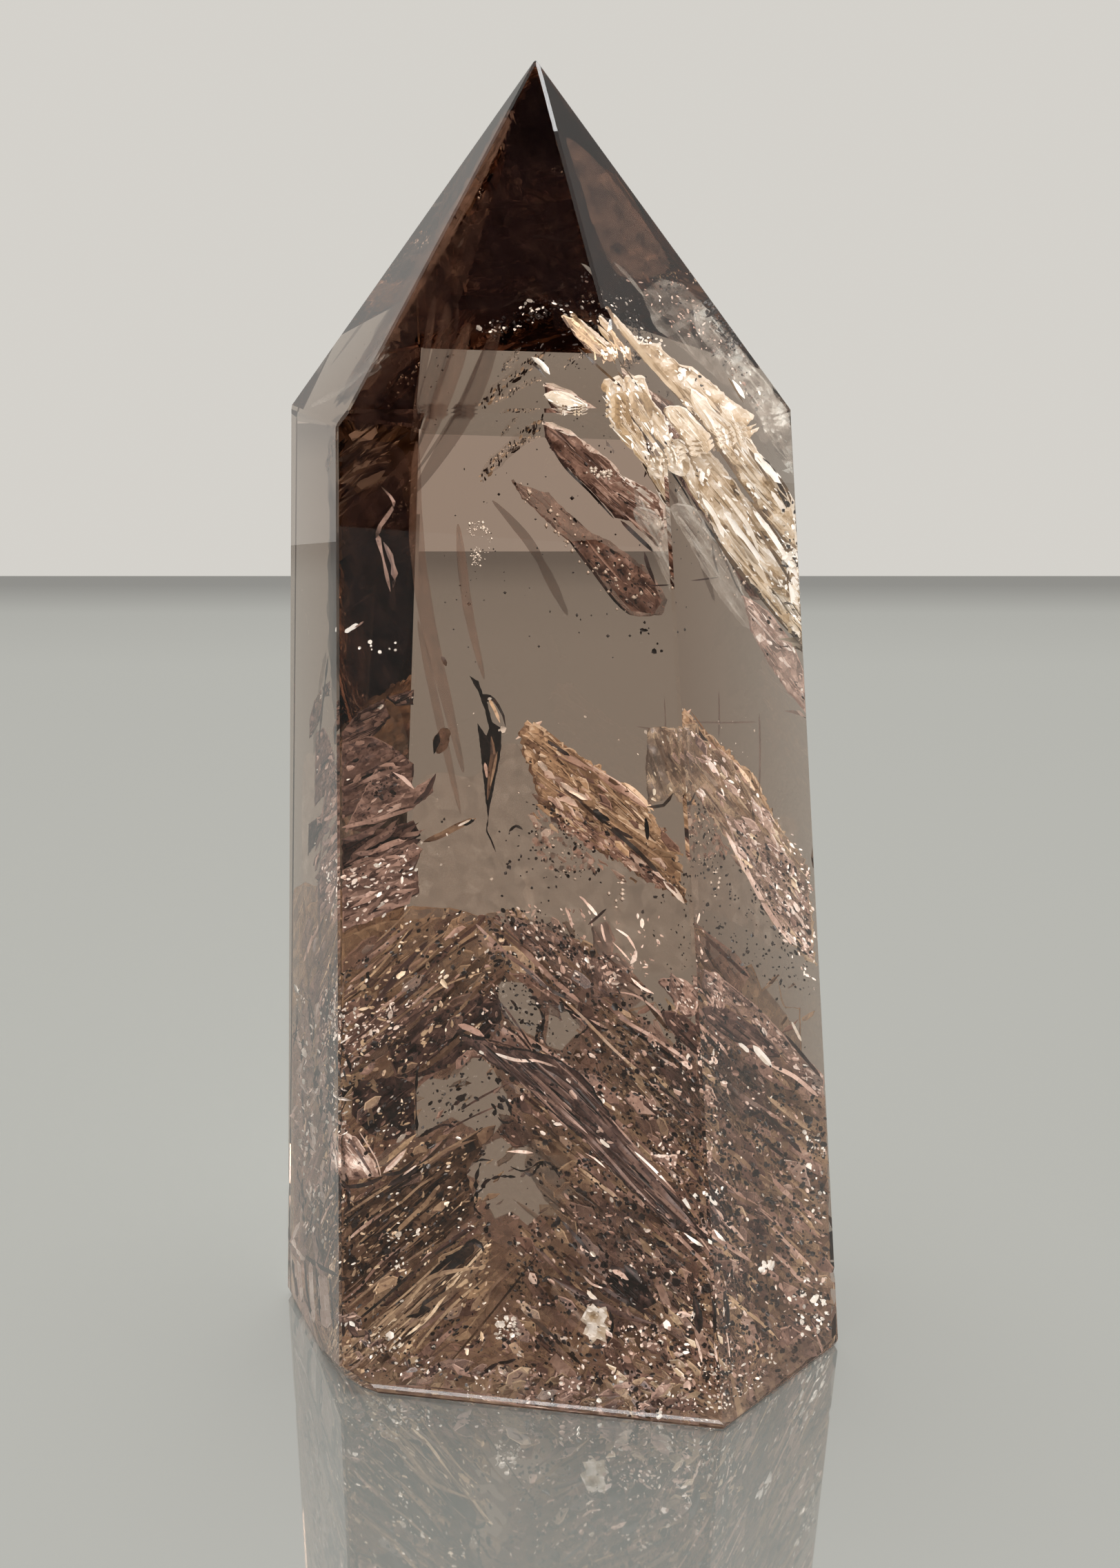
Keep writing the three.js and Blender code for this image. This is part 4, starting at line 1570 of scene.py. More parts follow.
@dataclass(frozen=True)
class GoldenBundle:
    """The golden bundle in the middle, near the back face, and the blades beside it."""

    seed: int = 21
    back_mm: float = 20.5
    side_mm: float = 2.6

    def bundle(self) -> Parts:
        """The bundle's plates, its pale bar, slits and glints.

        Returns:
            Its parts, in the order in which they grow.
        """
        deep = self.back_mm
        outline = (
            751,1062, 768,1049, 783,1052, 820,1082, 857,1104, 894,1134, 916,1141, 938,1167, 946,1182,
            968,1212, 986,1249, 990,1274, 994,1308, 975,1300, 953,1282, 931,1274, 901,1252, 875,1237,
            846,1219, 820,1197, 783,1167, 775,1134, 761,1101, 757,1082
        )
        lower = (
            778,1120, 812,1150, 856,1190, 902,1222, 948,1262, 984,1300, 953,1284, 901,1254, 846,1222,
            806,1196, 786,1168
        )
        return (
            Plate(outline, deep, 0.62, GOLDEN, 38, dive=1, streak=0.08, streak_px=(120, 7), patch=0.1,
                fade=-0.2, upper=0.26, lower=-0.2, rim_px=4, lines=110, line_px=52, flecks=(90, 9, 0.92),
                specks=40, rough_px=2.6),
            Shards(outline, 46, (deep - 1.2, deep - 0.5), 40, (0.42, 0.94), (GOLDEN, GOLDEN, MAUVE),
                (12, 54), 0.34),
            Plate((862,1120, 896,1136, 934,1172, 962,1216, 950,1220, 914,1186, 878,1156), deep - 0.5, 0.66,
                GOLDEN, 42, streak=0.1, streak_px=(90, 6), upper=0.2, lower=-0.3, lines=40, line_px=34,
                flecks=(20, 8, 1)),
            Plate(lower, deep - 0.3, 0.56, MAUVE, 38, patch=0.12, streak=0.06, lines=40, line_px=30,
                flecks=(70, 8, 0.82), specks=60, rough_px=2.6),
            Shards((772,1100, 868,1206, 972,1262, 984,1306, 880,1268, 800,1250, 776,1200), 40, (deep - 2.4,
                deep - 1.4), 42, (0.5, 0.96), (MAUVE_VEIL, MAUVE, GOLDEN), (10, 34), 0.3),
            Ribbon((753,1060, 800,1088, 868,1122, 938,1171), 12, deep - 1, 0.78, MAUVE, (0.05, 0.2),
                upper=0.15, lower=-0.2, streak=0.08),
            Ribbon((762,1054, 794,1076, 826,1096), 6, deep - 1.3, 0.1, MAUVE, (0.1, 0.1)),
            Ribbon((748,1072, 762,1062, 786,1046), 8, deep - 1.4, 0.92, MAUVE, (0.2, 0.3)),
            Ribbon((860,1174, 872,1184, 884,1190), 8, deep - 1.4, 0, MAUVE, (0.3, 0.3)),
            Ribbon((936,1186, 938,1202, 939,1218), 6, deep - 1.4, 0, MAUVE, (0.3, 0.3)),
            Ribbon((890,1200, 902,1208, 918,1216), 5, deep - 1.4, 0.03, MAUVE),
            Ribbon((838,1160, 880,1196, 930,1240, 975,1290), 6, deep - 1, 0.14, GOLDEN),
            Ribbon((812,1134, 828,1146, 852,1160), 7, deep - 1.6, 1, GLINT, (0.2, 0.1)),
            Ribbon((806,1160, 820,1158, 838,1170), 10, deep - 1.6, 0.95, MAUVE, (0.3, 0.3)),
            Ribbon((962,1278, 978,1292, 992,1310), 9, deep - 1.6, 1, CREAM, lower=-0.5),
            Ribbon((905,1135, 926,1152, 948,1176), 6, deep - 1.6, 0.9, GOLDEN),
            Ribbon((780,1104, 786,1110, 793,1118), 8, deep - 1.6, 1, GLINT),
            Strewn((770,1180, 846,1196, 866,1262, 800,1262, 775,1230), 70, deep - 2, 9, 0.8, 40, 60, 0.55,
                0.15, MAUVE_VEIL, 3),
            Strewn((760,1160, 856,1190, 876,1280, 780,1290), 90, deep - 3, 6, 0.6, 40, 50, 0.4, 0.1, SPECK,
                4, bunched=1),
            Strewn((770,1190, 856,1200, 876,1280, 790,1270), 40, deep - 3, 5, 0.8, 40, 50, 0.9, 0.1, GLINT,
                3, beads=True),
            Strewn((880,1270, 908,1270, 908,1316, 884,1316), 9, 14, 9, 0.9, 0, 50, 0.95, 0.05, GLINT, 1,
                beads=True),
            Strewn((740,1020, 1000,1060, 1000,1200, 900,1100), 16, 14, 5, 0.6, 0, 50, 1, 0.02, GLINT, 6),
        )

    def side_blades(self) -> Parts:
        """The fold on the bundle, and the speckled blade just inside the right face."""
        deep = self.side_mm
        return (
            Plate((940,1056, 960,1054, 981,1056, 986,1098, 986,1138, 968,1160, 940,1167, 936,1110), 4, 0.36,
                GOLDEN_VEIL, 70, streak=0.1, patch=0.08, upper=0.2, lower=-0.2, lines=26, line_px=36,
                flecks=(14, 7, 0.85)),
            Ribbon((938,1170, 962,1168, 976,1150), 5, 3.6, 0.05, GOLDEN),
            Plate((984,1056, 994,1052, 1020,1075, 1049,1093, 1086,1138, 1116,1178, 1145,1219, 1171,1256,
                1178,1330, 1182,1400, 1150,1372, 1116,1330, 1097,1293, 1075,1256, 1060,1226, 1031,1182,
                1008,1145, 984,1108), deep, 0.44, GOLDEN_VEIL, 52, shade=0.06, streak=0.07,
                streak_px=(140, 9), rough_px=2, patch=0.07, upper=0.12, lower=0.1, lines=80,
                line_px=44),
            Plate((1050,1180, 1100,1200, 1150,1250, 1172,1290, 1180,1395, 1140,1352, 1104,1296, 1074,1244),
                deep - 0.4, 0.46, MAUVE_VEIL, 52, streak=0.08, patch=0.08, lower=0.2, lines=50, line_px=26,
                flecks=(110, 7, 0.82), specks=150),
            Shards((984,1056, 1020,1075, 1086,1138, 1145,1219, 1178,1290, 1182,1400, 1116,1330, 1060,1226,
                1008,1145), 60, (deep - 0.8, deep - 0.3), 52, (0.4, 0.9), (GOLDEN_VEIL, MAUVE, MAUVE_VEIL),
                (10, 46), 0.3),
            Strewn((990,1052, 1030,1076, 1096,1140, 1172,1240, 1176,1290, 1100,1190, 1020,1106), 120,
                deep - 0.9, 7, 0.4, 52, 25, 0.85, 0.12, MAUVE, 0.6, bunched=1.5),
            Ribbon((1052,1206, 1080,1258, 1112,1318, 1150,1372), 7, deep - 0.6, 0.74, MAUVE),
            Strewn((1060,1220, 1150,1260, 1182,1420, 1120,1370), 90, deep - 0.8, 6, 0.4, 55, 20, 0.4,
                thick=0.8),
            Strewn((1120,1240, 1178,1280, 1184,1440, 1130,1360), 60, deep - 0.8, 8, 0.4, 60, 20, 0.9, 0.06,
                MAUVE, 0.8),
            Ribbon((997,1047, 1050,1048, 1097,1047), 2.5, 7, 0.28, MAUVE_VEIL),
            Ribbon((1042,1001, 1043,1036, 1042,1071), 2.5, 7, 0.28, MAUVE_VEIL),
            Ribbon((1101,1034, 1102,1090, 1101,1152), 2.5, 7, 0.32, MAUVE_VEIL),
            # A pale veil far back behind the clear window below the bundle: its pale tone paints the light
            # that comes up into the window from below.
            Plate((602,1150, 640,1120, 690,1126, 724,1080, 790,1092, 830,1140, 880,1150, 930,1210, 1004,1236,
                1006,1392, 940,1410, 860,1376, 760,1342, 690,1350, 602,1316), 24, 0.6, PALE_VEIL, cell_px=12,
                curved=True, relief=0.02, patch=0.1),
            Strewn((1010,1240, 1080,1260, 1180,1440, 1030,1400), 130, 6, 4.5, 0.7, 50, 40, 0.4, 0.1, SPECK,
                8),
        )

    def build(self, space: CrystalSpace) -> bpy.types.Object:
        """Grows the bundle."""
        parts = (*self.bundle(), *self.side_blades())
        return Growth("golden_bundle", self.seed, "golden_bundle", parts, "golden_blades").build(space)


@dataclass(frozen=True)
class DarkVoids:
    """The voids, whose black paints the dark that total reflection gives a hollow's walls,
    and small marks to the left of the bundle.
    """

    seed: int = 41
    deep_mm: float = 13.0

    def parts(self) -> Parts:
        """The long fish-like void, the small lozenge, the slanting flake and the dots.

        Returns:
            Its parts, in the order in which they grow.
        """
        deep = self.deep_mm
        # black paints the dark that total reflection gives the hollows.
        black = 0
        return (
            Plate((681,980, 694,988, 700,1006, 711,1008, 716,1016, 706,1018, 709,1030, 714,1047, 727,1056,
                727,1082, 724,1101, 717,1138, 711,1167, 708,1188, 704,1160, 700,1119, 696,1082, 692,1049,
                705,1067, 709,1056, 703,1030, 694,1004), deep, black, MAUVE, 80, streak=0, patch=0,
                relief=0.02, cell_px=4, rough_px=0.3),
            Ribbon((711,1008, 722,1023, 730,1038, 733,1054), 4.5, deep - 0.1, black, MAUVE, (0.1, 0.4)),
            Ribbon((708,1012, 717,1028, 725,1048), 5, deep - 0.05, 0.62, GOLDEN, (0.3, 0.3)),
            Ribbon((712,1068, 715,1094, 711,1126, 707,1160), 9, deep - 0.2, 0.3, GOLDEN, (0.3, 0.6),
                streak=0.1),
            Ribbon((721,1090, 716,1116, 711,1140), 4, deep - 0.3, 0.55, GOLDEN, (0.3, 0.5)),
            Ribbon((703,1106, 705,1118, 706,1128), 5, deep - 0.3, 0.7, MAUVE, (0.3, 0.5)),
            Strewn((722,1053, 730,1053, 730,1061, 722,1061), 2, deep - 0.4, 6, 0.8, 0, 40, 1, 0, GLINT, 0.1),
            Ribbon((708,1186, 706,1206, 712,1218, 719,1236), 2.4, deep, black, MAUVE, (0.05, 0.1)),
            Plate((631,1067, 642,1056, 652,1060, 651,1074, 648,1086, 635,1093, 628,1078), deep, 0.3, GOLDEN,
                -60, cell_px=4, curved=True, lines=4, line_px=12),
            Plate((630,1068, 637,1062, 639,1074, 633,1086, 629,1094, 627,1080), deep - 0.3, black, MAUVE,
                -60, streak=0, patch=0, cell_px=4),
            Ribbon((614,1221, 640,1211, 662,1199, 690,1187), 9, 11.5, 0.46, GOLDEN, (0.3, 0.2), lower=-0.25,
                upper=0.2),
            Ribbon((672,1197, 680,1193, 688,1188), 5, 11.2, black, MAUVE, (0.2, 0.2)),
            Ribbon((664,1198, 674,1193, 682,1189), 3, 11, 0.95, CREAM, (0.2, 0.2)),
            Ribbon((640,952, 644,958, 647,966), 6, 12, 0.2, GOLDEN),
            Ribbon((738,1206, 748,1198, 758,1203), 4, 14, black, MAUVE),
            Ribbon((1002,842, 1022,840, 1042,837), 2.2, 6, 0.05, MAUVE),
            Ribbon((500,917, 508,912, 519,905), 6, 1.6, 0.95, CREAM, (0.1, 0.1)),
            Ribbon((514,910, 521,906, 527,901), 2.4, 1.6, 0.5, MAUVE),
            Strewn((510,930, 580,930, 580,965, 512,965), 9, 2, 5, 0.8, 0, 40, 0.8, 0.1, GLINT, 0.8),
            Ribbon((553,706, 571,728, 562,748, 548,772, 556,812, 566,858), 6, 2, 0.46, MAUVE, (0.3, 0.4),
                upper=0.3, wobble=0.3),
            Ribbon((556,786, 566,806, 572,832, 570,852), 7, 2.2, 0.34, MAUVE, (0.4, 0.3), wobble=0.3),
            Strewn((640,1180, 655,1180, 655,1192, 640,1192), 3, 11, 5, 0.8, 0, 40, 0.3),
            Strewn((720,1195, 800,1195, 800,1310, 720,1310), 26, 12, 5, 0.8, 0, 40, 0.4, 0.1, SPECK, 8),
            Strewn((610,960, 760,960, 760,1290, 610,1290), 14, 12, 4, 0.8, 0, 40, 0.9, 0.1, GLINT, 8),
        )

    def build(self, space: CrystalSpace) -> bpy.types.Object:
        """Makes the voids."""
        return Growth("dark_voids", self.seed, "brown_feathers", self.parts()).build(space)


@dataclass(frozen=True)
class StripFlakes:
    """The chunky pink-brown flakes in the dark strip at the left of the front face."""

    seed: int = 51

    def parts(self) -> Parts:
        """The slabs from the top down, with the shingles and glints on them.

        Returns:
            Its parts, in the order in which they grow.
        """
        slabs = (
            ((496,1062, 520,1032, 556,1014, 566,1040, 548,1062, 520,1080, 496,1088), 12, 0.24),
            ((560,1012, 600,1000, 600,1022, 574,1024), 12, 0.16),
            ((496,1078, 540,1066, 574,1086, 600,1108, 598,1140, 560,1164, 524,1176, 496,1186), 10, 0.3),
            ((544,1116, 580,1130, 600,1142, 626,1128, 628,1148, 600,1172, 560,1186, 528,1196, 500,1206,
                510,1184), 8, 0.4),
            ((496,1216, 540,1206, 600,1190, 610,1212, 570,1234, 520,1252, 496,1262), 13, 0.1),
            ((496,1262, 540,1246, 600,1222, 612,1232, 600,1262, 556,1280, 520,1298, 496,1308), 8, 0.38),
            ((496,1302, 550,1276, 606,1262, 608,1296, 566,1318, 520,1340, 496,1352), 9, 0.34),
        )
        grown: list[Grown] = [
            Plate(outline, deep, tone, MAUVE, -25, dive=0.5, lean=1, patch=0.06, streak=0.06, upper=0.16,
                lower=-0.14, lines=14, line_px=34, flecks=(12, 12, tone + 0.22), specks=6)
            for outline, deep, tone in slabs
        ]
        shreds = (496,1085, 626,1120, 626,1160, 600,1300, 496,1360)
        low = (496,1255, 606,1225, 606,1310, 496,1350)
        return (
            *grown,
            Shingles(shreds, 46, (6, 12), -28, (0.22, 0.52), (MAUVE,), (24, 70), (4, 12), 14, 0.2),
            Shingles(low, 26, (5, 8), -24, (0.34, 0.6), (MAUVE,), (20, 60), (4, 10), 12, 0.2),
            Strewn(low, 70, 6, 9, 0.4, -25, 30, 0.85, 0.12, MAUVE, 2, bunched=1),
            Strewn(low, 26, 5, 8, 0.4, -25, 30, 1, 0.05, GLINT, 2, bunched=1),
            Strewn((530,1120, 580,1110, 584,1156, 540,1160), 40, 7, 8, 0.6, 30, 60, 0.1, 0.05, MAUVE, 1),
            Ribbon((496,1200, 540,1190, 600,1172), 6, 6, 0.5, MAUVE, upper=0.2, lower=-0.3),
            Ribbon((570,1120, 584,1128, 600,1144), 6, 6.5, 0.7, MAUVE),
            Ribbon((600,1166, 618,1150, 632,1122), 7, 7, 0.18, MAUVE),
        )

    def build(self, space: CrystalSpace) -> bpy.types.Object:
        """Makes the flakes."""
        return Growth("strip_flakes", self.seed, "pink_brown_flakes", self.parts(),
            "edge_flakes").build(space)


@dataclass(frozen=True)
class SmokyRays:
    """The smoky heart of the tip and of the left strip, and the brown rays that fall from it.
    The heart's dark sheets are partly the quartz's smoky tint and partly painted shade for
    the dark that the tip face and the strip reflect.
    """

    seed: int = 61
    deep_mm: float = 2.2

    def smoke(self) -> Parts:
        """The dark sheets behind the front tip face and behind the strip beside the left edge:
        partly smoke, partly painted shade for the dark reflections there.
        """
        rows = (
            ((778,112, 796,190, 850,330, 902,452, 860,462, 790,440, 720,478, 652,470, 668,380, 700,290,
                742,190), 7, 0),
            ((776,124, 812,250, 884,430, 800,420, 716,450, 676,440, 700,330, 744,210), 8, 0),
            ((777,116, 830,280, 900,452, 846,446, 770,400, 714,420, 704,360, 740,200), 9, 0),
            ((690,292, 700,330, 650,470, 600,492, 540,590, 512,590), 6, 0.14),
            ((640,380, 652,470, 604,486, 598,590, 514,592), 5, 0.05),
            ((497,700, 530,724, 572,690, 592,760, 597,880, 586,960, 560,1016, 514,1046, 500,980, 508,880,
                496,800), 3, 0),
            ((500,790, 540,770, 588,800, 594,900, 570,980, 530,1010, 498,960, 496,860), 3.6, 0),
            ((498,650, 548,640, 590,668, 595,820, 578,940, 520,990, 498,900, 506,780), 4.2, 0.1),
        )
        return tuple(
            Plate(outline, deep, tone, SMOKE, 60, streak=0.02, patch=0.03, cell_px=9, curved=True,
                relief=0.3)
            for outline, deep, tone in rows
        )

    def build(self, space: CrystalSpace) -> bpy.types.Object:
        """Makes the smoke and the rays.

        Args:
            space: the inside of the crystal.

        Returns:
            The piece.
        """
        rows = (
            ((650,440, 641,500, 596,640), 22, 0.2), ((664,440, 654,504, 606,650), 8, 0.16),
            ((724,470, 676,594, 600,716), 26, 0.24), ((706,496, 662,596, 600,690), 7, 0.16),
            ((680,470, 640,580, 598,680), 26, 0.45),
            ((604,640, 604,780, 620,900, 646,1010, 672,1120), 22, 0.62),
            ((664,760, 678,880, 702,985), 14, 0.7), ((606,900, 634,1030, 668,1180), 12, 0.6),
            ((630,430, 616,520, 600,600), 12, 0.2),
        )
        parts = tuple(
            Ribbon(line, width, self.deep_mm, tone, SMOKE, (0.3, 0.45), wobble=0.02)
            for line, width, tone in rows
        )
        return Growth("smoky_rays", self.seed, "brown_feathers", (*self.smoke(), *parts)).build(space)


@dataclass(frozen=True)
class LowerCloud:
    """The brown and golden plates that fill the lower part, like a tent of wings."""

    seed: int = 31
    back_mm: float = 23.0
    far_mm: float = 17.0
    near_mm: float = 8.0
    front_mm: float = 4.5
    black: float = 0.02
    left_turn: float = -41.0
    right_turn: float = 42.0
    clear: tuple[Outline, ...] = (
        (603,1561, 648,1566, 662,1549, 693,1530, 713,1546, 735,1588, 740,1618, 715,1645, 690,1640, 655,1620,
            603,1650),
        (721,1423, 761,1426, 775,1448, 786,1476, 775,1504, 744,1488, 724,1462),
        (797,1454, 845,1476, 850,1490, 831,1504, 814,1524, 791,1516),
        (682,1643, 704,1661, 727,1649, 748,1667, 774,1655, 792,1676, 822,1674, 832,1696, 814,1708, 836,1729,
            807,1741, 814,1766, 783,1762, 766,1778, 743,1758, 717,1768, 704,1741, 682,1738, 696,1713,
            671,1700, 690,1680, 672,1661),
        (918,1463, 950,1445, 985,1465, 1005,1478, 1005,1537, 985,1520, 955,1495, 925,1470),
        (1118,1412, 1150,1404, 1192,1420, 1194,1530, 1160,1524, 1126,1470),
        (728,1510, 745,1508, 766,1518, 770,1528, 740,1524),
    )
    left: Outline = (
        496,1400, 560,1345, 640,1318, 712,1330, 745,1400, 712,1470, 712,1800, 700,2032, 560,2016, 496,1985
    )
    right: Outline = (
        712,1318, 780,1320, 850,1360, 925,1420, 1006,1500, 1012,2066, 720,2034, 740,1780, 700,1500, 690,1380
    )
    side: Outline = (1012,1420, 1060,1440, 1120,1500, 1190,1560, 1200,1690, 1206,1940, 1060,2066, 1018,2066)

    def haze(self) -> Parts:
        """The smooth brown sheets at the back, open at the clear windows.

        Returns:
            Its parts, in the order in which they grow.
        """
        back, far = self.back_mm, self.far_mm
        rows = (
            # The soft golden sheet at the upper left, and its paler neighbour over the ridge.
            ((496,1342, 545,1326, 600,1314, 660,1318, 712,1334, 745,1365, 748,1420, 700,1440, 640,1446,
                560,1490, 496,1530), back, 0.52, GOLDEN_VEIL, -38),
            ((496,1360, 560,1336, 640,1330, 700,1346, 730,1380, 690,1418, 600,1440, 496,1500), far, 0.48,
                GOLDEN_VEIL, -38),
            ((700,1326, 745,1345, 800,1350, 860,1380, 915,1408, 945,1440, 915,1462, 870,1474, 800,1440,
                748,1410), far, 0.5, MAUVE_VEIL, 40),
            # The two great sheets over the whole lower part.
            ((496,1500, 522,1466, 545,1488, 590,1436, 612,1456, 660,1412, 684,1430, 745,1392, 768,1424,
                812,1404, 836,1440, 884,1426, 908,1466, 950,1452, 970,1496, 1010,1500, 1012,2068, 496,2015),
                back, 0.5, GOLDEN_VEIL, 40),
            ((496,1540, 540,1520, 560,1482, 604,1486, 640,1436, 676,1452, 724,1394, 756,1436, 800,1420,
                838,1466, 880,1462, 920,1516, 968,1520, 1010,1576, 1012,2068, 496,2015), back - 2.5, 0.46,
                MAUVE_VEIL, -40),
            # The speckled golden zone by the right, and the dark ones below it.
            ((866,1482, 905,1474, 960,1502, 1006,1552, 1010,1664, 960,1652, 900,1596, 868,1560), far, 0.38,
                GOLDEN_VEIL, 42),
            ((846,1712, 900,1740, 1010,1822, 1014,2064, 900,2050, 850,1930, 812,1800), far - 1, 0.4,
                MAUVE_VEIL, 42),
            ((740,1560, 800,1560, 850,1610, 930,1700, 1008,1780, 1008,1850, 930,1810, 850,1730, 770,1650),
                far, 0.4, GOLDEN_VEIL, 42),
            # The smooth peak at the bottom, and the golden slope to its left.
            ((814,1772, 846,1810, 890,1900, 905,2052, 640,2028, 680,1920, 760,1822), far - 2, 0.44,
                GOLDEN_VEIL, -60),
            ((496,1896, 560,1850, 640,1800, 700,1790, 760,1826, 690,1920, 640,2028, 560,2018, 496,1990),
                far - 3, 0.4, GOLDEN_VEIL, -41),
            ((496,1800, 560,1745, 640,1690, 672,1686, 690,1762, 640,1800, 560,1852, 496,1890), far - 2, 0.26,
                GOLDEN_VEIL, -41),
        )
        plates = tuple(
            Plate(outline, deep, tone, wear, turn, streak_px=(150, 16), patch=0.06, cell_px=8,
                windows=self.clear[:5] if deep >= self.back_mm - 3 else (), relief=0.03, upper=0.1,
                rim_px=3.5, lines=40, line_px=50, flecks=(14, 7, 0.6))
            for outline, deep, tone, wear, turn in rows
        )
        return (
            *plates,
            Strewn(self.left, 500, back - 3, 5, 0.45, -41, 30, 0.4, clear=self.clear, bunched=1),
            Strewn(self.right, 900, back - 3, 5, 0.45, 42, 30, 0.4, clear=self.clear, bunched=1),
        )

    def left_wings(self) -> Parts:
        """The plates whose edges rise to the right.

        Returns:
            Its parts, in the order in which they grow.
        """
        near, far, turn = self.near_mm, self.far_mm, self.left_turn
        dark = (496,1572, 573,1561, 601,1572, 601,1650, 560,1654, 536,1645, 496,1600)
        return (
            Shards(self.left, 150, (near, far), turn, (0.2, 0.68), clear=self.clear),
            Shingles(self.left, 30, (near + 3, far), turn, (0.26, 0.46), length_px=(50, 150),
                clear=self.clear, wears=(GOLDEN_VEIL, MAUVE_VEIL), width_px=(12, 36)),
            Shingles(self.left, 80, (near, far), turn, (0.12, 0.72), length_px=(50, 170), clear=self.clear,
                width_px=(3, 9)),
            # The dark brown mass under the first window, and the darker one beside the dark strip.
            Plate((561,1513, 615,1476, 718,1437, 726,1476, 706,1504, 676,1527, 648,1549, 606,1563, 573,1561),
                near + 3, 0.17, MAUVE, turn, patch=0.06, upper=0.12, cell_px=6, lines=30, line_px=30,
                flecks=(16, 7, 0.45), specks=20),
            Plate((646,1494, 690,1460, 724,1450, 728,1478, 706,1502, 676,1526, 650,1520), near + 2, 0.11,
                MAUVE, turn, cell_px=6, lines=12, upper=0.08),
            Plate(dark, near + 3, 0.1, MAUVE, turn, cell_px=6, lines=20, flecks=(14, 6, 0.5), specks=10,
                patch=0.05),
            Plate((500,1500, 540,1470, 600,1452, 640,1446, 600,1480, 560,1512, 500,1560), near + 1, 0.3,
                MAUVE, turn, patch=0.08, upper=0.14, cell_px=6, lines=30, line_px=30, flecks=(40, 7, 0.72),
                specks=14),
            Plate((496,1752, 560,1715, 640,1668, 690,1640, 700,1664, 676,1700, 690,1752, 640,1800, 560,1852,
                496,1892), near + 2, 0.2, GOLDEN, turn, patch=0.07, streak=0.08, streak_px=(120, 8),
                upper=0.2, cell_px=6, lines=110, line_px=46, flecks=(36, 7, 0.6), specks=90),
            Ribbon((496,1556, 545,1524, 600,1476, 648,1437), 22, near + 1.5, 0.24, GOLDEN_VEIL, (0.1, 0.3),
                upper=0.16, lower=-0.14),
            Ribbon((496,1448, 545,1408, 592,1350), 3, near, 0.6, GOLDEN),
            Ribbon((498,1456, 548,1416, 594,1362), 2.5, near, 0.18, GOLDEN),
            Ribbon((545,1367, 572,1342, 600,1312), 2.5, near, 0.55, GOLDEN),
            Ribbon((560,1440, 600,1408, 640,1372), 2.5, near, 0.48, GOLDEN),
            Ribbon((497,1540, 560,1490, 640,1432, 700,1410), 3, near, 0.52, GOLDEN),
            Ribbon((497,1552, 540,1520, 580,1492), 3, near, 0.1, GOLDEN),
            Ribbon((600,1392, 645,1352, 690,1334), 3, near, 0.46, GOLDEN),
            Ribbon((496,1764, 560,1722, 640,1672, 700,1636), 4, near - 1, 0.5, GOLDEN),
            Ribbon((496,1776, 560,1732, 640,1684, 676,1664), 4, near - 1, 0.08, GOLDEN),
            Ribbon((560,1728, 610,1690, 650,1650), 5, near - 1, 0.05, GOLDEN),
            Ribbon((620,1690, 650,1668, 690,1652), 4, near - 1.2, 0.42, GOLDEN),
            Strewn(self.left, 900, near - 1, 7, 0.55, turn, 25, 0.4, thick=6, clear=self.clear[1:2],
                bunched=1.2),
            Strewn(self.left, 520, near - 1, 8, 0.4, turn, 30, 0.66, 0.18, GOLDEN, 6, clear=self.clear,
                bunched=2),
            Strewn(self.left, 150, near - 2, 6, 0.4, turn, 30, 0.8, 0.2, GLINT, 4, clear=self.clear,
                bunched=2),
            Strewn((497,1450, 600,1446, 570,1510, 497,1540), 60, near - 1, 8, 0.4, turn, 30, 0.9, 0.08,
                MAUVE, 2, bunched=1),
        )

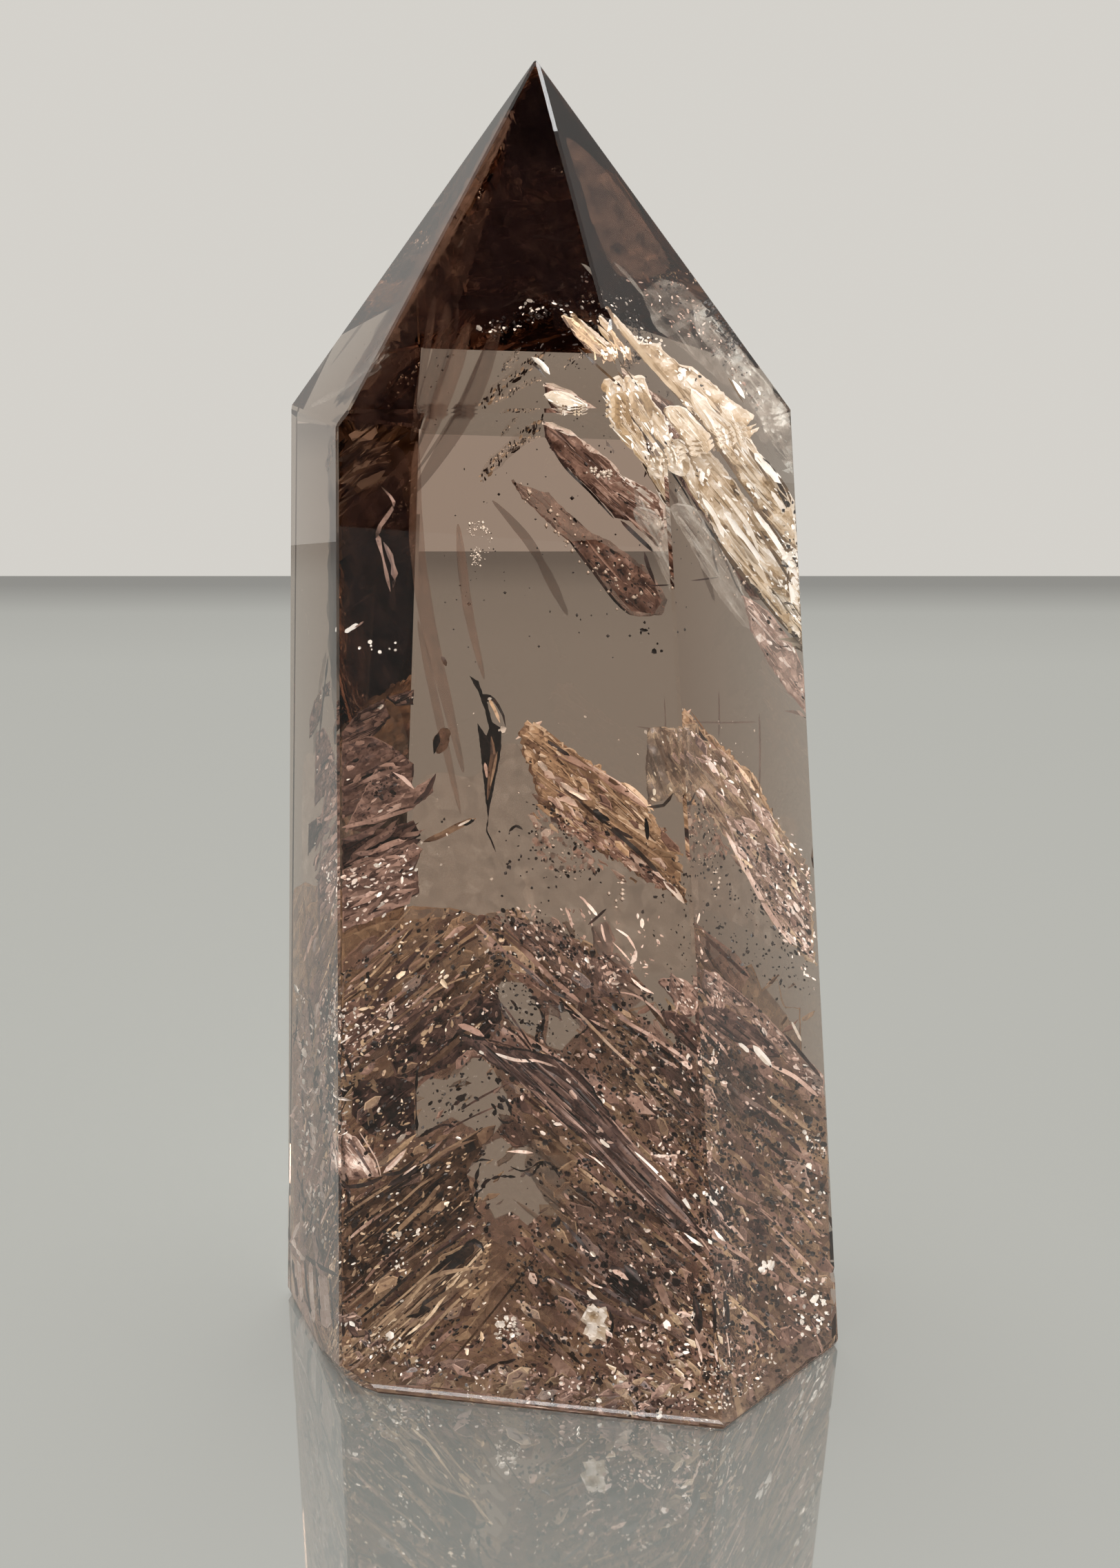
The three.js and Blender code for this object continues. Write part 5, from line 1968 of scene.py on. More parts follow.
    def right_wings(self) -> Parts:
        """The plates whose edges fall to the right.

        Returns:
            Its parts, in the order in which they grow.
        """
        near, far, turn = self.near_mm, self.far_mm, self.right_turn
        golden = (870,1482, 905,1472, 960,1502, 1004,1552, 1008,1660, 960,1650, 900,1592, 870,1556)
        return (
            Shards(self.right, 190, (near, far), turn, (0.2, 0.68), clear=self.clear),
            Shingles(self.right, 30, (near + 3, far), turn, (0.26, 0.46), length_px=(50, 160),
                clear=self.clear, wears=(GOLDEN_VEIL, MAUVE_VEIL), width_px=(12, 36)),
            Shingles(self.right, 90, (near, far), turn, (0.12, 0.74), length_px=(60, 190), clear=self.clear,
                width_px=(3, 9)),
            Plate((857,1390, 896,1381, 915,1402, 915,1424, 887,1445, 857,1448), near, 0.3, MAUVE_VEIL, 50,
                upper=0.2, lower=-0.2, lines=10, flecks=(8, 8, 0.85)),
            Plate((858,1344, 880,1336, 892,1362, 886,1392, 862,1400), near + 1, 0.34, MAUVE_VEIL, 60,
                upper=0.2, lower=-0.2, lines=8),
            Plate((745,1330, 800,1340, 850,1372, 880,1420, 868,1470, 800,1440, 762,1400), near + 3, 0.34,
                MAUVE_VEIL, turn, patch=0.08, cell_px=6, lines=40, line_px=34, flecks=(70, 7, 0.68),
                specks=120),
            Plate(golden, near + 2, 0.29, GOLDEN_VEIL, turn, patch=0.08, upper=0.18, cell_px=6, lines=60,
                line_px=36, flecks=(60, 7, 0.58), specks=240),
            Plate((768,1652, 850,1730, 905,1790, 870,1830, 846,1800, 790,1740, 760,1690), near + 3, 0.28,
                GOLDEN_VEIL, turn, patch=0.08, cell_px=6, lines=30, specks=90, flecks=(30, 7, 0.55)),
            Plate((870,1742, 930,1770, 1006,1850, 1010,1920, 960,1900, 900,1850, 866,1800), near + 2, 0.28,
                MAUVE_VEIL, turn, patch=0.08, cell_px=6, lines=40, specks=220, flecks=(60, 6, 0.62)),
            Plate((886,1834, 930,1850, 952,1890, 930,1904, 896,1880, 878,1856), near, 0.06, MAUVE, turn,
                cell_px=6, lines=8, specks=30, flecks=(10, 6, 0.5)),
            Ribbon((800,1852, 850,1880, 905,1908, 950,1920), 9, near - 1, 0.26, MAUVE, (0.3, 0.3), upper=0.1,
                lower=-0.2),
            Ribbon((862,1858, 900,1884, 946,1908), 5, near - 1.2, 0.04, MAUVE),
            Ribbon((896,1476, 940,1500, 991,1534, 1005,1549), 5, near - 1, 0.62, MAUVE),
            Ribbon((896,1484, 940,1510, 990,1544), 4, near - 1, 0.06, MAUVE),
            Ribbon((690,1340, 730,1380, 770,1410, 800,1440), 6, near, 0.44, MAUVE, upper=0.2, lower=-0.3),
            Ribbon((745,1390, 790,1430, 826,1450), 5, near, 0.14, MAUVE),
            Ribbon((888,1438, 930,1448, 986,1500, 1006,1520), 3, near, 0.66, MAUVE),
            Plate((955,1422, 985,1418, 1005,1430, 1012,1450, 1008,1472, 990,1472, 968,1440), near - 2, 0.56,
                MAUVE, 50, patch=0.12, upper=0.1, lower=-0.3, curved=True, flecks=(24, 7, 0.85), lines=8,
                line_px=18),
            Strewn((958,1424, 980,1420, 984,1432, 962,1434), 8, near - 2.4, 7, 0.6, 40, 30, 0.3),
            Strewn(self.right, 1700, near - 1, 7, 0.6, turn, 30, 0.4, thick=6, clear=self.clear[2:4],
                bunched=1.2),
            Strewn(self.right, 620, near - 1, 8, 0.45, turn, 35, 0.66, 0.18, MAUVE, 6, clear=self.clear,
                bunched=2),
            Strewn(self.right, 190, near - 2, 6, 0.4, turn, 30, 0.8, 0.2, GLINT, 4, clear=self.clear,
                bunched=2),
            Strewn((730,1310, 960,1330, 960,1420, 860,1440, 760,1400), 110, near - 1, 9, 0.4, 50, 40, 0.8,
                0.12, MAUVE, 4, bunched=1.2),
            Strewn((770,1530, 850,1520, 870,1600, 800,1600), 60, near, 8, 0.6, 40, 50, 0.62, 0.12,
                MAUVE_VEIL, 3),
        )

    def side_wings(self) -> Parts:
        """The plates behind the right face.

        Returns:
            Its parts, in the order in which they grow.
        """
        near, far, turn = self.near_mm, self.far_mm, self.right_turn
        sheet = (
            1012,1440, 1050,1448, 1100,1486, 1150,1548, 1196,1590, 1200,1690, 1206,1945, 1062,2064, 1014,2066
        )
        band = (
            1020,1405, 1056,1424, 1100,1462, 1136,1500, 1196,1562, 1194,1594, 1130,1530, 1096,1490,
            1050,1452, 1018,1432
        )
        grains = (1012,1480, 1120,1540, 1196,1600, 1204,1940, 1064,2062, 1014,2064)
        return (
            Plate(sheet, far, 0.5, MAUVE_VEIL, turn, patch=0.06, cell_px=8, lines=60, line_px=60,
                flecks=(40, 7, 0.6), specks=100),
            Plate(sheet, far - 3.5, 0.48, GOLDEN_VEIL, turn, patch=0.07, cell_px=8, lines=60, line_px=60,
                flecks=(40, 7, 0.6), specks=200),
            Shards(self.side, 90, (near - 2, far - 4), turn, (0.26, 0.66), clear=self.clear[5:6]),
            Shingles(self.side, 20, (near, far - 3), turn, (0.24, 0.42), length_px=(40, 130),
                width_px=(10, 30), wears=(GOLDEN_VEIL, MAUVE_VEIL), clear=self.clear[5:6]),
            Shingles(self.side, 56, (near - 2, far - 4), turn, (0.14, 0.76), length_px=(40, 150),
                width_px=(3, 8), clear=self.clear[5:6]),
            Plate(band, self.front_mm, 0.42, MAUVE_VEIL, 42, patch=0.08, upper=0.2, lower=-0.2, cell_px=6,
                lines=30, line_px=30, flecks=(70, 7, 0.8), specks=70),
            Plate((1018,1462, 1046,1460, 1080,1478, 1112,1506, 1132,1530, 1108,1532, 1070,1512, 1036,1490),
                self.front_mm + 1, 0.22, MAUVE, 38, patch=0.06, upper=0.15, lower=-0.15, cell_px=6,
                curved=True, lines=14, flecks=(10, 7, 0.6), specks=10),
            Plate((1034,1532, 1080,1540, 1116,1570, 1120,1610, 1080,1622, 1040,1604), self.front_mm + 2,
                0.13, MAUVE_VEIL, 40, patch=0.08, cell_px=6, lines=14, flecks=(14, 7, 0.5), specks=20),
            Ribbon((1092,1516, 1104,1530, 1120,1548), 10, self.front_mm - 1, 0.98, CREAM, (0.3, 0.3)),
            Ribbon((1071,1513, 1078,1518, 1086,1526), 6, self.front_mm - 1, 0.95, CREAM),
            Ribbon((1138,1500, 1160,1526, 1190,1562), 5, self.front_mm - 1, 0.05, MAUVE),
            Ribbon((1118,1546, 1150,1560, 1186,1590), 6, self.front_mm - 1, 0.78, MAUVE),
            Ribbon((1112,1590, 1140,1612, 1176,1640), 7, self.front_mm, 0.55, GOLDEN),
            Ribbon((1104,1608, 1130,1634, 1160,1650), 5, self.front_mm, 0.1, GOLDEN),
            Ribbon((1019,1728, 1028,1736, 1040,1748), 6, self.front_mm - 1, 1, CREAM, (0.15, 0.15)),
            Ribbon((1010,1776, 1040,1796, 1090,1830), 7, self.front_mm, 0.62, MAUVE, lower=-0.3),
            Ribbon((1036,1752, 1060,1778, 1080,1800), 5, self.front_mm, 0.8, MAUVE),
            Ribbon((1148,1482, 1154,1494, 1162,1510), 4, self.front_mm, 0.95, CREAM),
            Strewn(grains, 1300, near - 1, 7, 0.6, turn, 35, 0.4, thick=9, bunched=1),
            Strewn(grains, 340, near - 1, 8, 0.45, turn, 35, 0.64, 0.18, MAUVE, 9, bunched=2),
            Strewn(grains, 80, near - 3, 5, 0.45, turn, 40, 0.8, 0.2, GLINT, 5, bunched=2),
            Strewn((1020,1980, 1130,1960, 1110,2030, 1060,2062, 1020,2064), 60, 3, 5, 0.5, 40, 50, 0.7, 0.2,
                GLINT, 2, bunched=2),
            Strewn((1160,1640, 1196,1640, 1204,1760, 1176,1760), 26, 3, 7, 0.6, 60, 50, 1, 0.03, GLINT, 2,
                bunched=1.5),
            Strewn((1146,1860, 1196,1850, 1204,1930, 1160,1950), 50, 3, 7, 0.6, 60, 50, 1, 0.03, GLINT, 2,
                bunched=1.5),
            Strewn((1104,1828, 1120,1828, 1120,1846, 1104,1846), 12, 3, 8, 0.6, 60, 50, 1, 0.03, CREAM, 1),
            Strewn((1150,1640, 1196,1640, 1204,1930, 1160,1950), 60, 3.5, 7, 0.5, 60, 50, 0.3),
        )

    def long_feather(self) -> Parts:
        """The long mauve feather that crosses to the right face, with its edges and strands."""
        deep = self.front_mm
        return (
            Plate((667,1499, 699,1506, 722,1518, 761,1520, 806,1534, 838,1554, 860,1576, 872,1598, 892,1626,
                912,1653, 936,1682, 964,1715, 990,1742, 1010,1772, 1030,1800, 1004,1790, 980,1784, 951,1760,
                909,1721, 880,1690, 853,1660, 820,1632, 789,1603, 770,1584, 747,1566, 728,1552, 710,1541,
                690,1524, 668,1507), deep, 0.22, MAUVE, 43, dive=0.3, streak_px=(170, 7), upper=-0.2,
                lower=-0.16, rim_px=3.5, lines=110, line_px=64, flecks=(20, 8, 0.6), specks=14),
            Ribbon((746,1540, 800,1560, 850,1604, 905,1668, 960,1728, 1008,1780), 9, deep - 0.3, 0.3, MAUVE,
                (0.2, 0.2), upper=0.12, lower=-0.2),
            Ribbon((700,1524, 745,1552, 800,1600, 860,1655, 915,1716, 950,1752), 4, deep - 0.3, 0.38, MAUVE,
                (0.2, 0.2), lower=-0.2),
            Ribbon((768,1580, 800,1598, 832,1626, 852,1644), 4, deep - 0.4, 0.48, MAUVE),
            Ribbon((742,1548, 790,1572, 836,1610), 3, deep - 0.4, 0.08, MAUVE),
            Ribbon((884,1620, 930,1674, 980,1730), 3, deep - 0.4, 0.55, MAUVE),
            Ribbon((716,1527, 746,1537, 777,1539), 4.5, deep - 0.6, 0.9, MAUVE),
            Ribbon((766,1536, 784,1540, 808,1548), 3, deep - 0.6, 0.75, MAUVE),
            Ribbon((664,1486, 682,1492, 702,1503), 9, deep + 3, 0.62, MAUVE, (0.2, 0.3), upper=0.3,
                lower=-0.5),
            Ribbon((662,1494, 678,1502, 696,1508), 3, deep + 3, 0.04, MAUVE),
            Ribbon((920,1670, 942,1690, 966,1714), 3.5, deep - 0.6, 0.96, CREAM),
            Ribbon((870,1652, 876,1658, 884,1664), 5, deep - 0.6, 0.9, CREAM),
            Ribbon((992,1788, 1004,1798, 1020,1808), 5, deep - 0.6, 0.9, CREAM),
            Plate((948,1675, 982,1674, 980,1690, 970,1699, 958,1690), deep, 0.56, MAUVE, 30, upper=0.3,
                lower=-0.2, flecks=(6, 7, 0.85)),
            Plate((710,1509, 730,1489, 748,1502, 761,1516, 756,1524, 735,1516), deep + 3, 0.44, MAUVE, 40,
                upper=0.2, lower=-0.3, lines=6),
            Ribbon((730,1488, 750,1500, 772,1526), 3, deep + 2.8, 0.1, MAUVE),
            Ribbon((712,1440, 740,1472, 772,1520), 3, deep + 3, 0.16, MAUVE),
            Ribbon((668,1610, 700,1590, 740,1570), 3, deep + 4, 0.24, MAUVE),
            Ribbon((640,1644, 680,1622, 730,1600), 2.5, deep + 4, 0.28, MAUVE),
        )

    def cracks(self) -> Parts:
        """The black cracks and dots inside and round the clear windows.

        Returns:
            Its parts, in the order in which they grow.
        """
        deep = self.near_mm
        rows = (
            ((699,1724, 704,1714, 712,1710), 5), ((712,1710, 726,1706, 748,1707), 3.5),
            ((689,1686, 698,1682, 712,1683), 3), ((773,1703, 780,1692, 788,1683), 4),
            ((697,1686, 690,1712, 692,1740), 4), ((692,1740, 688,1752, 700,1764), 3),
            ((700,1724, 690,1732, 682,1744), 3), ((760,1700, 768,1704, 776,1702), 3),
            ((788,1684, 800,1690, 812,1708), 3), ((740,1692, 760,1698, 784,1684), 2.2),
            ((728,1588, 736,1600, 742,1618), 4), ((722,1620, 730,1628, 742,1626), 3.5),
            ((712,1600, 718,1608, 716,1618), 4), ((606,1650, 640,1632, 660,1634), 4),
            ((654,1604, 662,1600, 668,1594), 4), ((606,1540, 603,1590, 605,1648), 2.5),
            ((720,1440, 726,1462, 746,1488), 3), ((740,1450, 746,1456, 750,1466), 4),
            ((776,1450, 788,1480, 776,1506), 4), ((790,1468, 786,1500, 794,1518), 3),
            ((842,1478, 852,1490, 832,1506), 3), ((800,1458, 820,1464, 846,1478), 2.5),
        )
        ribbons = [
            Ribbon(line, w, deep, self.black, MAUVE, (0.2, 0.2), wobble=0.4, row_px=3)
            for line, w in rows
        ]
        dots = ((4, 12, 5), (2, 14, 4.5), (3, 12, 4.5), (1, 12, 6), (0, 14, 6), (5, 8, 4))
        grains = [Strewn(self.clear[k], count, deep, size, 0.5, -60, 40, 0.4) for k, count, size in dots]
        pale = [
            Strewn(self.clear[k], 26, deep + 4, 8, 0.4, 30, 60, 0.7, 0.1, PALE_VEIL)
            for k in (0, 1, 2, 3)
        ]
        crossing = [
            Shards(self.clear[k], count, (deep, deep + 6), -40, (0.24, 0.6), size_px=(12, 44), slim=0.3)
            for k, count in ((0, 5), (3, 16), (4, 6), (5, 5))
        ]
        return (*ribbons, *grains, *pale, *crossing)

    def front_marks(self) -> Parts:
        """The single bright flakes, curls, slits and patches near the front.

        Returns:
            Its parts, in the order in which they grow.
        """
        deep = self.front_mm
        pale = (
            ((850,1309, 858,1318, 866,1328), 7), ((893,1347, 910,1358, 922,1378), 5),
            ((922,1378, 920,1390, 914,1398), 9), ((915,1418, 930,1432, 948,1441), 6),
            ((872,1340, 874,1352, 878,1366), 5), ((888,1366, 900,1378, 914,1394), 4),
            ((556,1701, 572,1686, 589,1667), 11), ((954,1531, 968,1540, 984,1549), 6),
            ((988,1540, 996,1544, 1003,1550), 12), ((735,1670, 752,1670, 773,1672), 7),
            ((848,1672, 862,1680, 878,1694), 4), ((888,1842, 900,1848, 912,1856), 10),
            ((846,1850, 858,1862, 874,1868), 5), ((520,1640, 546,1682, 552,1706), 3),
            ((840,1300, 846,1304, 852,1312), 5), ((820,1316, 826,1330, 830,1346), 6),
            ((1008,1940, 1014,1958, 1018,1976), 6), ((576,1710, 590,1700, 604,1690), 4),
        )
        dark = (
            ((853,1341, 866,1330, 879,1318), 4), ((697,1997, 708,1986, 722,1977), 6),
            ((722,1976, 734,1976, 748,1971), 5), ((799,1780, 806,1774, 814,1770), 6),
            ((814,1770, 834,1792, 856,1818), 5), ((1006,1880, 1012,1906, 1014,1934), 12),
            ((905,1835, 918,1850, 930,1862), 16), ((671,1810, 688,1800, 702,1812), 9),
            ((553,1704, 580,1700, 604,1680), 5), ((497,1722, 530,1718, 556,1706), 6),
            ((562,1720, 590,1704, 610,1690), 8),
        )
        marks = [Ribbon(line, 0.65 * w, deep, 0.8, MAUVE, (0.25, 0.25)) for line, w in pale]
        gaps = [Ribbon(line, w, deep, self.black, MAUVE, (0.3, 0.3)) for line, w in dark]
        triangle = (
            Plate((497,1642, 516,1648, 530,1668, 542,1684, 550,1706, 520,1710, 497,1712), deep, 0.62, MAUVE,
                55, patch=0.14, streak=0.08, upper=0.15, lower=-0.2, cell_px=4, lines=14, line_px=22,
                flecks=(10, 8, 0.85)),
            Ribbon((506,1650, 522,1676, 540,1704), 4, deep - 0.3, 0.3, MAUVE),
        )
        patch = (
            Plate((850,1898, 860,1890, 867,1898, 878,1894, 881,1908, 876,1918, 886,1928, 877,1934, 879,1946,
                865,1941, 857,1950, 853,1938, 845,1934, 851,1922, 842,1914), deep, 0.9, CREAM, 20, patch=0.2,
                cell_px=4, flecks=(14, 6, 1), specks=5),
            Ribbon((845,1894, 858,1888, 878,1890), 4, deep - 0.2, 0.05, MAUVE),
            Ribbon((884,1900, 888,1924, 880,1950), 5, deep - 0.2, 0.05, MAUVE),
            Ribbon((846,1946, 862,1954, 880,1952), 5, deep - 0.2, 0.05, MAUVE),
            Ribbon((852,1872, 858,1880, 866,1884), 6, deep - 0.2, 0.95, CREAM),
        )
        # Pale lines along the foot of the front face: a painted highlight for the bright strip that the
        # base's bevel shows.
        base = [
            Ribbon((562,2014, 659,2021, 735,2034, 801,2046), 2, 1.2, 0.5, MAUVE, (0.1, 0.1)),
            Ribbon((700,2030, 760,2038, 850,2052), 2, 1.2, 0.74, MAUVE, (0.1, 0.1)),
        ]
        sparkles = (
            ((539,1925, 582,1925, 582,1966, 539,1966), 44, CREAM),
            ((717,1905, 753,1905, 753,1943, 717,1943), 60, GLINT),
            ((676,1990, 712,1984, 712,2016, 676,2020), 26, GLINT),
            ((900,1920, 962,1924, 958,1966, 904,1962), 60, MAUVE),
            ((572,1823, 592,1823, 592,1849, 572,1849), 12, GLINT),
            ((560,1790, 620,1776, 620,1800, 560,1810), 16, GLINT),
            ((498,1460, 520,1460, 520,1560, 498,1560), 30, GLINT),
            ((664,1766, 690,1760, 690,1790, 664,1790), 12, GLINT),
            ((940,1640, 1000,1660, 1000,1716, 950,1710), 30, MAUVE),
            ((526,1984, 542,1984, 542,2000, 526,2000), 5, GLINT),
        )
        glitter = [
            Strewn(region, n, deep - 0.5, 5.5, 0.6, 30, 60, 0.8, 0.15, wear, 1.5)
            for region, n, wear in sparkles
        ]
        low = (
            500,1900, 560,1950, 640,1975, 860,1996, 1008,2006, 1010,2066, 860,2048, 640,2014, 540,1996,
            500,1960
        )
        corner = (860,1930, 1000,1900, 1010,2040, 900,2030)
        shards = (
            Shards(corner, 24, (2, 4), 40, (0.4, 0.86), (MAUVE_VEIL, GOLDEN_VEIL), (16, 50)),
            Strewn(corner, 70, 2, 8, 0.5, 40, 50, 0.8, 0.16, MAUVE, 1, bunched=1.5),
            Shards(low, 80, (1.2, 3.6), -20, (0.2, 0.58), size_px=(16, 56)),
            Shards(low, 40, (1.2, 3), 50, (0.2, 0.62), size_px=(14, 40)),
            Strewn(low, 160, 2, 7, 0.5, -20, 40, 0.4, thick=1.6),
            Strewn(low, 150, 1.8, 7, 0.45, -20, 50, 0.66, 0.16, MAUVE, 1.2, bunched=1.5),
            Strewn(low, 60, 1.6, 6, 0.5, -20, 50, 0.8, 0.15, GLINT, 1),
        )
        return (*marks, *gaps, *triangle, *patch, *base, *glitter, *shards)

    def golden_slope(self) -> Parts:
        """The golden plates at the lower left, with their black slits.

        Returns:
            Its parts, in the order in which they grow.
        """
        deep = self.front_mm + 0.5
        slope = (
            497,1962, 540,1918, 590,1882, 640,1838, 690,1800, 706,1800, 696,1840, 664,1872, 620,1914,
            576,1962, 520,1996, 497,1988
        )
        return (
            Plate(slope, deep + 0.6, 0.4, GOLDEN, -43, streak=0.1, streak_px=(150, 6), patch=0.05,
                upper=0.14, lines=150, line_px=60, flecks=(40, 9, 0.85), specks=40),
            # Two black slits, hollows whose black paints the dark of total reflection.
            Plate((622,1850, 634,1834, 656,1818, 686,1800, 688,1814, 669,1833, 646,1848), deep, 0.03, GOLDEN,
                -40, streak=0.02, patch=0.01),
            Plate((588,1910, 606,1904, 615,1887, 645,1871, 640,1882, 624,1898, 604,1912), deep, 0.03, GOLDEN,
                -40, streak=0.02, patch=0.01),
            Ribbon((554,1926, 588,1890, 626,1852, 694,1838), 7, deep - 0.2, 0.54, GOLDEN, (0.2, 0.3),
                upper=0.2, lower=-0.3),
            Ribbon((588,1938, 622,1910, 648,1874, 668,1848), 4.5, deep - 0.3, 0.86, GOLDEN, (0.2, 0.3),
                lower=-0.4),
            Ribbon((560,1900, 600,1866, 640,1828), 3, deep - 0.2, 0.56, GOLDEN),
            Ribbon((520,1968, 560,1932, 600,1896), 3, deep - 0.2, 0.58, GOLDEN),
            Ribbon((600,1960, 650,1900, 700,1856), 4, deep - 0.2, 0.55, GOLDEN),
            Ribbon((570,1960, 620,1912, 650,1886), 3, deep - 0.2, 0.06, GOLDEN),
            Ribbon((500,1930, 560,1880, 620,1826, 664,1800), 4, deep - 0.2, 0.08, GOLDEN),
            Ribbon((500,1900, 560,1850, 640,1796), 3, deep, 0.44, GOLDEN),
            Ribbon((690,1900, 720,1860, 760,1826), 4, deep + 2, 0.4, GOLDEN),
            Ribbon((640,1990, 700,1920, 780,1820), 3, deep + 2, 0.12, GOLDEN),
        )

    def build(self, space: CrystalSpace) -> None:
        """Grows the haze, both halves of the cloud and what lies in front of them.

        Args:
            space: the inside of the crystal.
        """
        front = (*self.long_feather(), *self.golden_slope(), *self.cracks(), *self.front_marks())
        pieces = (
            ("brown_haze", self.haze()), ("left_wings", self.left_wings()),
            ("right_wings", self.right_wings()), ("side_wings", self.side_wings()),
            ("long_feather", front),
        )
        for number, (name, parts) in enumerate(pieces):
            Growth(name, self.seed + number, "brown_feathers", parts, "cloud_layers").build(space)


@dataclass(frozen=True)
class LeftVeins:
    """The crackled pale veins just inside the left face."""

    seed: int = 71
    deep_mm: float = 1.6
    count: int = 70
    tops_px: Span = (1400, 1790)
    across_px: Span = (430, 486)
    length_px: Span = (24, 80)
    pale_share: float = 0.55
    veil_share: float = 0.6
    sway_px: float = 7

    def build(self, space: CrystalSpace) -> bpy.types.Object:
        """Makes the veins and the slits below them.

        Args:
            space: the inside of the crystal.

        Returns:
            The piece.
        """
        rng = np.random.default_rng(self.seed)
        deep = self.deep_mm
        grown: list[Grown] = []
        for _ in range(self.count):
            top = rng.uniform(*self.tops_px)
            x = rng.uniform(*self.across_px)
            sway = rng.normal(0, self.sway_px, 3)
            reach = rng.uniform(*self.length_px)
            line = (x, top, x + sway[0], top + reach / 2, x + sway[1], top + reach)
            pale = rng.random() < self.pale_share
            tone = rng.uniform(0.55, 0.9) if pale else rng.uniform(0.02, 0.2)
            width = rng.uniform(2, 8) if pale else rng.uniform(1.2, 2.6)
            wear = (MAUVE_VEIL if rng.random() < self.veil_share else MAUVE) if pale else MAUVE
            grown.append(Ribbon(line, float(width), deep, float(tone), wear, row_px=5, wobble=0.5,
                column_px=2))
        band = (428,1420, 488,1400, 490,1800, 436,1800)
        slits = (
            ((431,1828, 433,1856, 436,1888), 10, 0.8), ((450,1830, 452,1876, 455,1918), 6, 0.86),
            ((466,1846, 470,1890, 474,1926), 15, 0.78), ((442,1826, 445,1870, 452,1908), 3, 0.05),
            ((458,1838, 462,1880, 466,1922), 3, 0.05), ((478,1850, 481,1890, 484,1930), 3, 0.1),
            ((440,1820, 462,1836, 490,1850), 6, 0.14), ((424,1826, 428,1856, 432,1884), 4, 0.2),
        )
        parts = (
            *grown,
            Strewn(band, 150, deep, 9, 0.25, 85, 25, 0.85, 0.1, MAUVE, 0.8, bunched=1.5),
            Strewn(band, 190, deep - 0.3, 9, 0.14, 80, 30, 0.1, 0.05, MAUVE, 0.8, bunched=1.5),
            Strewn(band, 50, deep - 0.4, 8, 0.4, 85, 30, 1, 0.03, GLINT, 0.8, bunched=2),
            *(Ribbon(line, w, deep, tone, MAUVE, (0.1, 0.1)) for line, w, tone in slits),
            Ribbon((473,945, 462,1010, 455,1095), 5, deep, 0.4, GOLDEN_VEIL, wobble=0.3),
            Ribbon((476,950, 468,1020, 462,1080), 2.5, deep - 0.2, 0.12, GOLDEN, wobble=0.3),
            Ribbon((484,1100, 470,1180, 462,1300, 468,1420), 3, deep, 0.36, MAUVE_VEIL, wobble=0.3),
            Ribbon((440,1300, 446,1400, 452,1500), 3, deep, 0.36, MAUVE_VEIL, wobble=0.4),
        )
        return Growth("left_veins", self.seed, "brown_feathers", parts).build(space)


